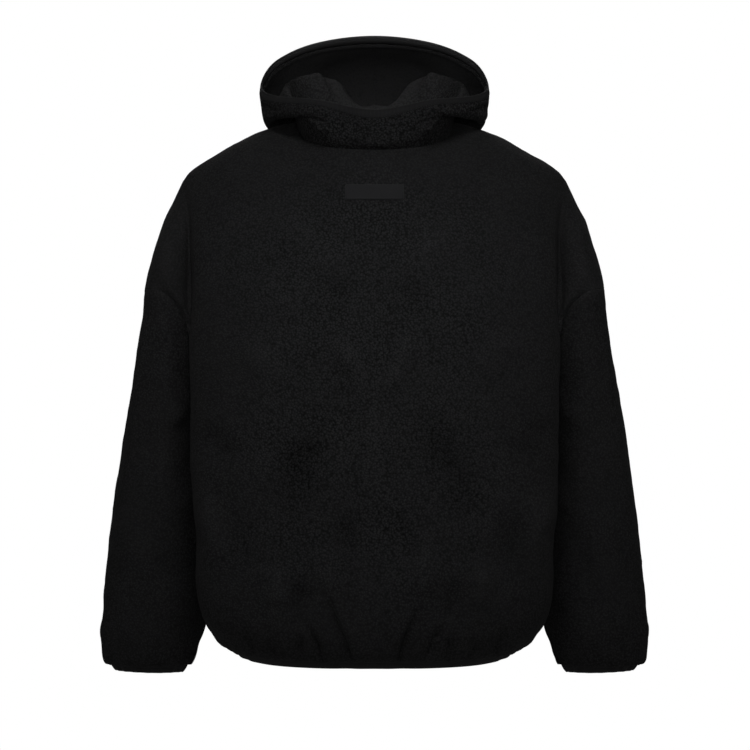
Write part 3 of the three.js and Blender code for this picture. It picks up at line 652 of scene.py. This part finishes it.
def sleeve_sheet(side, settings):
    ring = joined((0, 0.35, 4), (0.35, 13.6, 128), (13.6, 14, 4))
    turn = joined((-1, -0.985, 3), (-0.985, 0, 62), (0, 0.985, 62), (0.985, 1, 3))
    grid = sleeve_form(ring, np.pi * np.abs(turn), turn <= 0)
    v = lengths(grid, 0)
    keep = smooth(np.minimum(v, v[-1] - v) / 16) * smooth((1 - np.abs(turn)) / 0.06)
    amount = folds(SLEEVE_FOLDS, np.broadcast_to(turn * 185, grid.shape[:2]), grid[..., 2]) * settings.fold_depth
    amount = amount * keep + quilted(grid * [side, 1, 1], False, keep, 1.3, 0.7, 0.35, 31)
    grid = relieved(grid, amount, False, False)
    v = lengths(grid, 0)
    grid = overhung(grid, v[-1] - v, 7.5, 1.5)
    grid[..., 0] *= side
    return grid


def hood_sheet(settings):
    turn = joined((-np.pi, -np.pi + 0.02, 3), (-np.pi + 0.02, np.pi - 0.02, 276), (np.pi - 0.02, np.pi, 3))
    levels = joined((0, 0.08, 2), (0.08, 8.8, 118), (8.8, 9, 3))
    grid = hood_form(levels, turn)
    v = lengths(grid, 0)
    keep = smooth(np.minimum(v, v[-1] - v) / 10) * smooth((np.pi - np.abs(turn)) / 0.06)
    around = np.broadcast_to(np.abs(np.degrees(turn)) * 1.9, grid.shape[:2])
    height = np.broadcast_to(levels[:, None] * 20, grid.shape[:2])
    amount = folds(HOOD_FOLDS, around, height) * settings.fold_depth * keep
    amount += quilted(grid, False, keep, 1.2, 1.0, 0.6, 47)
    return relieved(grid, amount, False, False)


def hood_band_grid():
    turn = np.linspace(-np.pi, np.pi, 480, endpoint=False)
    return hood_form(np.linspace(9, 10, 9), turn)


def band_grid(seam, size, middle):
    """An elastic band below a seam: rows that narrow to the lower edge and bulge as a half sine."""
    down = np.linspace(0, 1, 9)[:, None]
    plan = middle + (seam[:, :2] - middle) * lerp(1, size["narrows"], down)[..., None]
    out = plan - middle
    out /= np.linalg.norm(out, axis=-1, keepdims=True)
    plan = plan + out * (size["bulge"] * np.sin(np.pi * down))[..., None]
    return point(plan[..., 0], plan[..., 1], seam[:, 2] - size["tall"] * down)


def resampled(loop, count):
    """Even places round a closed line, with no repeat at the end."""
    closed = np.concatenate([loop, loop[:1]])
    s = np.concatenate([[0], np.cumsum(np.linalg.norm(np.diff(closed, axis=0), axis=1))])
    at = np.linspace(0, s[-1], count, endpoint=False)
    return np.stack([np.interp(at, s, closed[:, c]) for c in range(3)], axis=-1)


# Materials
class Socket:
    """An output of a material's node, for arithmetic on values that vary over the surface."""

    def __init__(self, recipe, socket):
        self.recipe = recipe
        self.socket = socket

    def math(self, operation, *values):
        return self.recipe.node("ShaderNodeMath", {"operation": operation}, dict(enumerate(values)))

    def __add__(self, other):
        return self.math("ADD", self, other)

    def __radd__(self, other):
        return self.math("ADD", other, self)

    def __sub__(self, other):
        return self.math("SUBTRACT", self, other)

    def __rsub__(self, other):
        return self.math("SUBTRACT", other, self)

    def __mul__(self, other):
        return self.math("MULTIPLY", self, other)

    def __rmul__(self, other):
        return self.math("MULTIPLY", other, self)

    def __truediv__(self, other):
        return self.math("DIVIDE", self, other)

    def __pow__(self, other):
        return self.math("POWER", self, other)

    def sine(self):
        return self.math("SINE", self)

    def limited(self, low, high):
        """From 0 at `low` to 1 at `high`, with soft ends."""
        settings = {"interpolation_type": "SMOOTHSTEP"}
        return self.recipe.node("ShaderNodeMapRange", settings, {"Value": self, "From Min": low, "From Max": high})


class Recipe:
    """A material made of nodes, with the shader that they feed."""

    def __init__(self, name, **constants):
        self.material = bpy.data.materials.new(name)
        self.material.use_nodes = True
        self.tree = self.material.node_tree
        self.tree.nodes.clear()
        end = self.tree.nodes.new("ShaderNodeOutputMaterial")
        self.shader = self.tree.nodes.new("ShaderNodeBsdfPrincipled")
        self.tree.links.new(self.shader.outputs[0], end.inputs["Surface"])
        for key, value in constants.items():
            self.shader.inputs[key.replace("_", " ")].default_value = value

    def node(self, kind, settings=None, inputs=None, output=0):
        made = self.tree.nodes.new(kind)
        for key, value in (settings or {}).items():
            setattr(made, key, value)
        for key, value in (inputs or {}).items():
            self.fill(made.inputs[key], value)
        return Socket(self, made.outputs[output])

    def fill(self, entry, value):
        if isinstance(value, Socket):
            self.tree.links.new(value.socket, entry)
        else:
            entry.default_value = value

    def feed(self, **values):
        for key, value in values.items():
            self.fill(self.shader.inputs[key.replace("_", " ")], value)
        return self.material

    def place(self):
        return self.node("ShaderNodeTexCoord", output="Object")

    def mark(self, name):
        return self.node("ShaderNodeAttribute", {"attribute_name": name}, output="Fac")

    def noise(self, place, scale, detail=2.0, output="Fac"):
        return self.node("ShaderNodeTexNoise", None, {"Vector": place, "Scale": scale, "Detail": detail}, output)

    def cells(self, place, scale):
        return self.node("ShaderNodeTexVoronoi", {"feature": "F1"}, {"Vector": place, "Scale": scale}, "Distance")

    def moved(self, place, by, much):
        """The place, moved by a colour's distance from grey."""
        away = self.node("ShaderNodeVectorMath", {"operation": "SUBTRACT"}, {0: by, 1: (0.5, 0.5, 0.5)})
        away = self.node("ShaderNodeVectorMath", {"operation": "SCALE"}, {0: away, "Scale": much})
        return self.node("ShaderNodeVectorMath", {"operation": "ADD"}, {0: place, 1: away})

    def mix(self, factor, low, high):
        return self.node("ShaderNodeMix", {"data_type": "RGBA"}, {0: factor, 6: low, 7: high}, 2)

    def bump(self, height, distance, strength=1.0):
        return self.node("ShaderNodeBump", None, {"Height": height, "Distance": distance, "Strength": strength})


def shade(colour, factor):
    """A colour made darker or lighter."""
    return (*(c * factor for c in colour[:3]), 1.0)


def fleece_material(settings):
    """Curled pile: tufts of two sizes on a warped place, lighter on their tops, darker between."""
    colour = settings.fleece_colour
    recipe = Recipe("fleece_pile", Roughness=1.0, Sheen_Weight=0.012, Sheen_Roughness=0.5, Specular_IOR_Level=0.03)
    place = recipe.place()
    warped = recipe.moved(place, recipe.noise(place, 180.0, 1.0, "Color"), 0.0022)
    apart = recipe.cells(warped, 1 / settings.tuft_size)
    tufts = (1.15 - apart) ** 2.2
    curls = recipe.noise(warped, 800.0, 1.0)
    wear_and_painted_shade = recipe.noise(place, 22.0, 3.0)
    patches = recipe.noise(place, 12.0, 2.0) * 1.0 + 0.5
    pile = (tufts + curls * 0.3 - 0.47) * patches * recipe.mark("pile")
    light = pile * 0.75 + wear_and_painted_shade * 0.2 + 0.28 - recipe.mark("seam") * 0.05
    # The pale mark adds the pieces' painted light and shade to the pile's colour.
    light = light + recipe.mark("pale")
    base = recipe.mix(light, shade(colour, 0.3), shade(colour, 2.1))
    return recipe.feed(Base_Color=base, Normal=recipe.bump(tufts, 0.0004))


def knit_material(settings):
    """Fine rib across a band: waves round it, with loops along each rib and a lightly worn edge."""
    colour = settings.knit_colour
    recipe = Recipe("binding_knit", Roughness=0.85, Sheen_Weight=0.02, Sheen_Roughness=0.4, Specular_IOR_Level=0.05)
    flat = recipe.node("ShaderNodeUVMap", {"uv_map": "cloth"})
    split = recipe.node("ShaderNodeSeparateXYZ", None, {0: flat}, "X")
    down = Socket(recipe, split.socket.node.outputs["Y"])
    ribs = (split * (2 * math.pi / 0.0017)).sine() * 0.5 + 0.5
    loops = (down * (2 * math.pi / 0.0011) + ribs * 2.4).sine() * 0.5 + 0.5
    fuzz = recipe.noise(recipe.place(), 900.0, 2.0)
    height = ribs * 0.6 + loops * 0.25 + fuzz * 0.3
    light = (height + recipe.noise(recipe.place(), 40.0) * 0.4 - recipe.mark("seam") * 0.5).limited(0.2, 1.3)
    # The pale mark adds the hood binding's painted light and the even lighter tone of the hem and cuff bands.
    light = light + recipe.mark("pale")
    base = recipe.mix(light, shade(colour, 0.55), shade(colour, 1.45))
    return recipe.feed(Base_Color=base, Normal=recipe.bump(height, 0.0004))


def rubber_material(settings):
    """Soft moulded rubber: fine grain, a faint cloudiness, and edges rubbed a little lighter."""
    colour = settings.label_colour
    recipe = Recipe("patch_rubber", Specular_IOR_Level=0.08)
    place = recipe.place()
    grain = recipe.noise(place, 1500.0, 2.0)
    cloud = recipe.noise(place, 60.0, 3.0)
    edge = recipe.mark("edge")
    base = recipe.mix((cloud * 0.5 + grain * 0.3 + edge * 0.4).limited(0.1, 1.0), shade(colour, 0.85), shade(colour, 1.2))
    return recipe.feed(Base_Color=base, Roughness=0.62 + grain * 0.12, Normal=recipe.bump(grain, 0.00008))


def thread_material(settings):
    """Twisted thread: slanting plies on a matte black."""
    recipe = Recipe("sewing_thread", Roughness=0.7, Specular_IOR_Level=0.2)
    plies = recipe.noise(recipe.place(), 1800.0, 2.0)
    base = recipe.mix(plies, shade(settings.thread_colour, 0.7), shade(settings.thread_colour, 1.3))
    return recipe.feed(Base_Color=base, Normal=recipe.bump(plies, 0.0001))


def floor_material(settings):
    """Matte painted floor with a barely uneven tone."""
    recipe = Recipe("floor", Roughness=0.9, Specular_IOR_Level=0.1)
    tone = recipe.noise(recipe.place(), 0.6, 2.0)
    base = recipe.mix(tone, shade(settings.floor_colour, 0.985), shade(settings.floor_colour, 1.0))
    return recipe.feed(Base_Color=base)


def material(name, make):
    """The material of this name, made once."""
    return bpy.data.materials.get(name) or make(bpy.context.scene.hoodie_cloth)


def dressed(piece, name, make, slot, *nodes):
    """Gives a piece its material and body, and hides the solids that it stands for; `slot` is not used."""
    piece.data.materials.append(material(name, make))
    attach(piece, "root")
    if nodes:
        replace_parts(piece, *nodes)
    return piece


def sheets():
    """The scene's cloth settings."""
    settings = bpy.context.scene.hoodie_cloth
    return settings


# Settings
class HoodieCloth(bpy.types.PropertyGroup):
    """Finish of the cloth, bindings and patch."""

    fold_depth: bpy.props.FloatProperty(name="Fold depth", description="Share of the folds' full depth", default=1.8, min=0, max=2)
    tuft_size: bpy.props.FloatProperty(
        name="Tuft size", description="Width of one tuft of the pile", default=0.0027, unit="LENGTH"
    )
    fleece_colour: bpy.props.FloatVectorProperty(
        name="Fleece", description="Mean colour of the pile", subtype="COLOR", size=4, default=(0.0145, 0.0145, 0.0148, 1)
    )
    knit_colour: bpy.props.FloatVectorProperty(
        name="Binding", description="Mean colour of the knitted bindings", subtype="COLOR", size=4, default=(0.0155, 0.0155, 0.0158, 1)
    )
    label_colour: bpy.props.FloatVectorProperty(
        name="Patch", description="Colour of the rubber patch", subtype="COLOR", size=4, default=(0.018, 0.018, 0.019, 1)
    )
    thread_colour: bpy.props.FloatVectorProperty(
        name="Thread", description="Colour of the stitching", subtype="COLOR", size=4, default=(0.012, 0.012, 0.0125, 1)
    )


class HoodieStage(bpy.types.PropertyGroup):
    """Floor, light and camera."""

    floor_height: bpy.props.FloatProperty(name="Floor", description="Height of the floor", default=-1.45, unit="LENGTH")
    floor_size: bpy.props.FloatProperty(name="Floor size", description="Width of the floor", default=9.0, unit="LENGTH")
    distance: bpy.props.FloatProperty(name="Distance", description="Camera's distance", default=4.0, unit="LENGTH")
    eye_height: bpy.props.FloatProperty(name="Eye height", description="Camera's height", default=-0.316, unit="LENGTH")
    lens: bpy.props.FloatProperty(name="Lens", description="Focal length in millimetres", default=150.0)
    key_power: bpy.props.FloatProperty(name="Level lights", description="Power of the lights in front and behind, in watts", default=0.85, min=0)
    fill_power: bpy.props.FloatProperty(name="High lights", description="Power of the lights above, in watts", default=8.2, min=0)
    ambient: bpy.props.FloatProperty(name="Ambient", description="Strength of the light from all round", default=0.06, min=0)
    floor_colour: bpy.props.FloatVectorProperty(
        name="Floor colour", description="Colour of the floor", subtype="COLOR", size=4, default=(0.86, 0.86, 0.86, 1)
    )


# Operators
class HOODIE_OT_panels(bpy.types.Operator):
    """Makes the front and back panels"""

    bl_idname = "hoodie.panels"
    bl_label = "Front and back panels"

    def execute(self, context):
        settings = context.scene.hoodie_cloth
        for front, area, wide in ((True, 0.456, 0.70), (False, 0.421, 0.63)):
            name = "front_panel_cloth" if front else "back_panel_cloth"
            grid = panel_sheet(front, settings)
            near = np.exp(-((grid[..., 0] / 170) ** 2) - (np.maximum(grid[..., 2] + 130, 0) / 60) ** 2)
            near *= np.exp(-((np.maximum(-480 - grid[..., 2], 0) / 130) ** 2))
            rows = FRONT_FOLDS if front else BACK_FOLDS
            # Painted shade and light: the outer face is painted darker along the fold troughs and lighter along the
            # ridges of the fold table.
            wear_and_painted_shade = folds(rows, grid[..., 0], grid[..., 2]) * 0.017
            # Painted light: below the chest, a strip beside each side seam is painted lighter to fill the shade in the
            # seam.
            side = lengths(grid, 1)
            low = smooth((-170 - grid[..., 2]) / 30)
            wear_and_painted_shade += 0.16 * low * np.exp(-((np.minimum(side, side[:, -1:] - side) / 8) ** 2))
            piece = cloth(name, grid, turned=not front, pile=lerp(0.6, 1.15, near), paler=(wear_and_painted_shade, 0))
            dressed(piece, "fleece_pile", fleece_material, "fleece", "front_panel" if front else "back_panel")
        return {"FINISHED"}


class HOODIE_OT_sleeves(bpy.types.Operator):
    """Makes the two sleeves"""

    bl_idname = "hoodie.sleeves"
    bl_label = "Sleeves"

    def execute(self, context):
        for word, side in (("left", 1), ("right", -1)):
            grid = sleeve_sheet(side, context.scene.hoodie_cloth)
            # Painted shade and light: below the armpit the inner side of each sleeve is painted darker where it lies in
            # the body's shadow, and the first rows at the armhole are painted lighter to fill the seam's shade.
            low = smooth((-240 - grid[..., 2]) / 90)
            painted_light_and_shade = -0.2 * low * smooth((268 - np.abs(grid[..., 0])) / 36)
            painted_light_and_shade += 0.14 * np.exp(-((lengths(grid, 0) / 7) ** 2))
            piece = cloth(f"sleeve_{word}_cloth", grid, turned=side > 0, pile=0.7, paler=(painted_light_and_shade, 0))
            dressed(piece, "fleece_pile", fleece_material, "fleece", f"sleeve_{word}")
        return {"FINISHED"}


class HOODIE_OT_hood(bpy.types.Operator):
    """Makes the hood, from the neck seam over its inner crest to the binding"""

    bl_idname = "hoodie.hood"
    bl_label = "Hood"

    def execute(self, context):
        grid = hood_sheet(context.scene.hoodie_cloth)
        v = lengths(grid, 0)
        below = v[-1] - v
        allowance = 1.8 * smooth((9.5 - below) / 2.5) * smooth((below - 1.5) / 2)
        # Painted light and shade: the hood's inner face is painted darker at the front, on the folded lobes, and
        # lighter towards the back, where the deep hood lies in shade; the outer face is a little darker throughout.
        far = smooth((grid[..., 1] - 20) / 90)
        piece = cloth("hood_cloth", grid, inside=allowance, pile=1.2, paler=(-0.15, lerp(-0.2, 0.62, far)))
        dressed(piece, "fleece_pile", fleece_material, "fleece", "hood")
        return {"FINISHED"}


class HOODIE_OT_bindings(bpy.types.Operator):
    """Makes the knitted bindings of the hood, hem and cuffs, with their stitching"""

    bl_idname = "hoodie.bindings"
    bl_label = "Bindings"

    def execute(self, context):
        settings = context.scene.hoodie_cloth
        front, back = panel_sheet(True, settings)[0], panel_sheet(False, settings)[0]
        hem = resampled(np.concatenate([front, back[-2:0:-1]]), 900)
        bands = [
            ("hood_binding", hood_band_grid(), False, (0.80, 0.011), -1),
            ("hem_band", band_grid(hem, HEM_BAND, np.array([0, RIDGE_Y])), True, (1.03, 0.0135), 0),
        ]
        for word, side in (("left", 1), ("right", -1)):
            seam = resampled(sleeve_sheet(side, settings)[-1, :-1], 260)
            middle = np.array([side * (340 + 240) / 2, 25])
            bands.append((f"cuff_{word}", band_grid(seam, CUFF, middle), side > 0, (0.25, 0.0155), 0))
        for node, grid, turned, flat, _ in bands:
            # Painted light: the hood's binding is painted lighter towards the back, where its inner side faces the
            # lamps; the hem and cuff bands are evenly lighter.
            pale = smooth((grid[..., 1] - 20) / 60) if node == "hood_binding" else 0.35
            piece = cloth(f"{node}_knit", grid, loop=True, turned=turned, rounding=2.2, thin=0.7, paler=(pale, pale))
            dressed(piece, "binding_knit", knit_material, "knit", node)
            row = 2 if node != "hood_binding" else 1
            out = normals(grid, True, turned)
            path = grid[row] + out[row] * (WALL / 2)
            closed = np.concatenate([path, path[:1]])
            directions = np.concatenate([out[row], out[row][:1]])
            seam = stitches(f"{node}_stitches", closed, directions, 2.6, 0.9, 0.28, 0.25)
            dressed(seam, "sewing_thread", thread_material, "knit")
        return {"FINISHED"}


class HOODIE_OT_label(bpy.types.Operator):
    """Makes the bare rubber patch on the chest"""

    bl_idname = "hoodie.label"
    bl_label = "Patch"

    def execute(self, context):
        node = bpy.data.objects["label_patch"]
        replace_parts(label_piece(), "label_patch")
        return {"FINISHED"}


def front_place(x, z):
    """Place on the front panel above the chest at half-widths x and heights z, found by halving."""
    across, climb = np.zeros_like(x), np.zeros_like(x)
    for _ in range(5):
        low, high = np.zeros_like(x), np.ones_like(x)
        for _ in range(14):
            climb = (low + high) / 2
            below = front_point(across, climb)[..., 2] < z
            low, high = np.where(below, climb, low), np.where(below, high, climb)
        low, high = np.zeros_like(x), np.full_like(x, NECK_AT)
        for _ in range(14):
            across = (low + high) / 2
            inside = front_point(across, climb)[..., 0] < np.abs(x)
            low, high = np.where(inside, across, low), np.where(inside, high, across)
    made = front_point(across, climb)
    made[..., 0] = x
    return made


def front_point(across, climb):
    """The yoke's formula for single places inside the neck's width."""
    rise = climb**CLIMB
    turn = np.radians(NECK_TURN * across / NECK_AT)
    power = 2 / ROUNDNESS
    chest_x = TORSO["wing"][-1] * np.sin(turn) ** power
    chest_y = lerp(TORSO["wing_y"][-1], -TORSO["front"][-1], np.cos(turn) ** power)
    t = across / NECK_AT
    top = neckline(np.radians(90) * t, True)
    bend = np.radians(lerp(FRONT_SLOPE, 90, smooth(t)))
    level = (np.cos(bend * rise) - np.cos(bend)) / (1 - np.cos(bend))
    z = lerp(CHEST_Z, top[..., 2], np.sin(bend * rise) / np.sin(bend))
    return point(lerp(chest_x, top[..., 0], rise**2), lerp(top[..., 1], chest_y, level), z)


def label_piece():
    """The patch: a grid on the front panel's own points, with rounded corners, whose top is moved out
    and rolls over at the edge as a quarter circle."""
    wide, tall = LABEL["wide"] / 2, LABEL["tall"] / 2
    u = joined((-1, -0.9, 8), (-0.9, 0.9, 60), (0.9, 1, 8))[None, :]
    v = joined((-1, -0.75, 7), (-0.75, 0.75, 20), (0.75, 1, 7))[:, None]
    x, z = np.broadcast_arrays(u * wide, v * tall)
    corner = LABEL["corner"]
    over_x, over_z = np.maximum(np.abs(x) - (wide - corner), 0), np.maximum(np.abs(z) - (tall - corner), 0)
    far = np.hypot(over_x, over_z)
    square = np.maximum(over_x, over_z)
    pull = np.where(far > 0, square / np.maximum(far, 1e-9), 1)
    x = np.sign(x) * (np.minimum(np.abs(x), wide - corner) + over_x * pull)
    z = np.sign(z) * (np.minimum(np.abs(z), tall - corner) + over_z * pull)
    z_at = z + LABEL["top"] - tall
    grid = front_place(x, z_at)
    n = normals(grid, False, False)
    edge = np.minimum(wide - np.abs(u * wide), tall - np.abs(v * tall))
    roll = np.sqrt(1 - (1 - np.clip(edge / 0.9, 0, 1)) ** 2)
    weave = 0.06 * lumps(grid, 9, 71)
    seat = WALL / 2 + 0.3
    outer = grid + n * (seat + lerp(0.55, LABEL["thick"], roll) + weave)[..., None]
    inner = grid + n * seat
    rows, columns = grid.shape[:2]
    i, j = np.meshgrid(np.arange(rows - 1), np.arange(columns - 1), indexing="ij")
    face = np.stack([i * columns + j, i * columns + j + 1, (i + 1) * columns + j + 1, (i + 1) * columns + j], axis=-1)
    face = face.reshape(-1, 4)
    count = rows * columns
    j = np.arange(columns - 1)
    i = np.arange(rows - 1)
    end, last = columns - 1, (rows - 1) * columns
    borders = [(j, j + 1), (last + j + 1, last + j), (i * columns + end, (i + 1) * columns + end), ((i + 1) * columns, i * columns)]
    strips = [np.stack([p, p + count, q + count, q], axis=-1) for p, q in borders]
    quads = np.concatenate([face, face[:, ::-1] + count, *strips])
    rub = np.exp(-edge / 0.8) * np.ones_like(x)
    points = np.concatenate([outer.reshape(-1, 3), inner.reshape(-1, 3)])
    piece = new_object("label_patch_rubber", points, quads, None, {"edge": np.concatenate([rub.ravel(), rub.ravel()])})
    piece.data.materials.append(material("patch_rubber", rubber_material))
    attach(piece, "root")
    return piece


class HOODIE_OT_stage(bpy.types.Operator):
    """Makes the floor, lights, surroundings and camera"""

    bl_idname = "hoodie.stage"
    bl_label = "Stage"

    def execute(self, context):
        scene, stage = context.scene, context.scene.hoodie_stage
        half = stage.floor_size / 2 / MM
        u = np.linspace(-half, half, 9)
        x, y = np.meshgrid(u, u)
        i, j = np.meshgrid(np.arange(8), np.arange(8), indexing="ij")
        quads = np.stack([i * 9 + j, i * 9 + j + 1, (i + 1) * 9 + j + 1, (i + 1) * 9 + j], axis=-1).reshape(-1, 4)
        floor = new_object("floor", point(x, y, stage.floor_height / MM).reshape(-1, 3), quads)
        floor.data.materials.append(bpy.data.materials.get("floor") or floor_material(stage))

        def light(name, place, aim, size, spread, power):
            data = bpy.data.lights.new(name, "AREA")
            data.shape, data.size, data.energy = "SQUARE", size, power
            data.spread = math.radians(spread)
            made = bpy.data.objects.new(name, data)
            made.location = place
            made.rotation_euler = (Vector(aim) - Vector(place)).to_track_quat("-Z", "Y").to_euler()
            scene.collection.objects.link(made)

        for word, way in (("front", -1), ("back", 1)):
            light(f"{word}_low", (0, 5.0 * way, -0.2), (0, 0, -0.1), 0.6, 20, stage.key_power)
            light(f"{word}_high", (0, 2.2 * way, 2.1), (0, 0, -0.1), 0.8, 100, stage.fill_power)
        for word, way in (("left", 1), ("right", -1)):
            light(f"{word}_side", (4.4 * way, -1.0, 0.6), (0, 0, -0.1), 1.2, 40, stage.key_power * 0.6)

        world = bpy.data.worlds.new("studio")
        world.use_nodes = True
        tree = world.node_tree
        tree.nodes.clear()
        end = tree.nodes.new("ShaderNodeOutputWorld")
        seen, around = tree.nodes.new("ShaderNodeBackground"), tree.nodes.new("ShaderNodeBackground")
        seen.inputs["Strength"].default_value = 1.0
        seen.inputs["Color"].default_value = (1, 1, 1, 1)
        around.inputs["Color"].default_value = (1, 1, 1, 1)
        around.inputs["Strength"].default_value = stage.ambient
        rays = tree.nodes.new("ShaderNodeLightPath")
        mix = tree.nodes.new("ShaderNodeMixShader")
        tree.links.new(rays.outputs["Is Camera Ray"], mix.inputs[0])
        tree.links.new(around.outputs[0], mix.inputs[1])
        tree.links.new(seen.outputs[0], mix.inputs[2])
        tree.links.new(mix.outputs[0], end.inputs["Surface"])
        scene.world = world

        data = bpy.data.cameras.new("camera")
        data.lens, data.sensor_width, data.sensor_fit = stage.lens, 36.0, "HORIZONTAL"
        data.clip_end = 100
        camera = bpy.data.objects.new("camera", data)
        camera.location = (0.00064, -stage.distance, stage.eye_height)
        camera.rotation_euler = (math.pi / 2, 0, 0)
        scene.collection.objects.link(camera)
        scene.camera = camera
        scene.view_settings.view_transform = "Standard"
        return {"FINISHED"}


class HOODIE_PT_panel(bpy.types.Panel):
    """Steps and settings of the hoodie"""

    bl_idname = "HOODIE_PT_panel"
    bl_label = "Pullover hoodie"
    bl_space_type = "VIEW_3D"
    bl_region_type = "UI"
    bl_category = "Hoodie"

    def draw(self, context):
        for group in (context.scene.hoodie_cloth, context.scene.hoodie_stage):
            for key in group.__annotations__:
                self.layout.prop(group, key)
        for step in STEPS:
            self.layout.operator(step.bl_idname)


STEPS = (HOODIE_OT_panels, HOODIE_OT_sleeves, HOODIE_OT_hood, HOODIE_OT_bindings, HOODIE_OT_label, HOODIE_OT_stage)
CLASSES = (HoodieCloth, HoodieStage, *STEPS, HOODIE_PT_panel)


def register():
    for made in CLASSES:
        bpy.utils.register_class(made)
    bpy.types.Scene.hoodie_cloth = bpy.props.PointerProperty(type=HoodieCloth)
    bpy.types.Scene.hoodie_stage = bpy.props.PointerProperty(type=HoodieStage)


def unregister():
    del bpy.types.Scene.hoodie_stage
    del bpy.types.Scene.hoodie_cloth
    for made in reversed(CLASSES):
        bpy.utils.unregister_class(made)


def main():
    register()
    for name in ("panels", "sleeves", "hood", "bindings", "label", "stage"):
        getattr(bpy.ops.hoodie, name)()


if __name__ == "__main__":
    main()
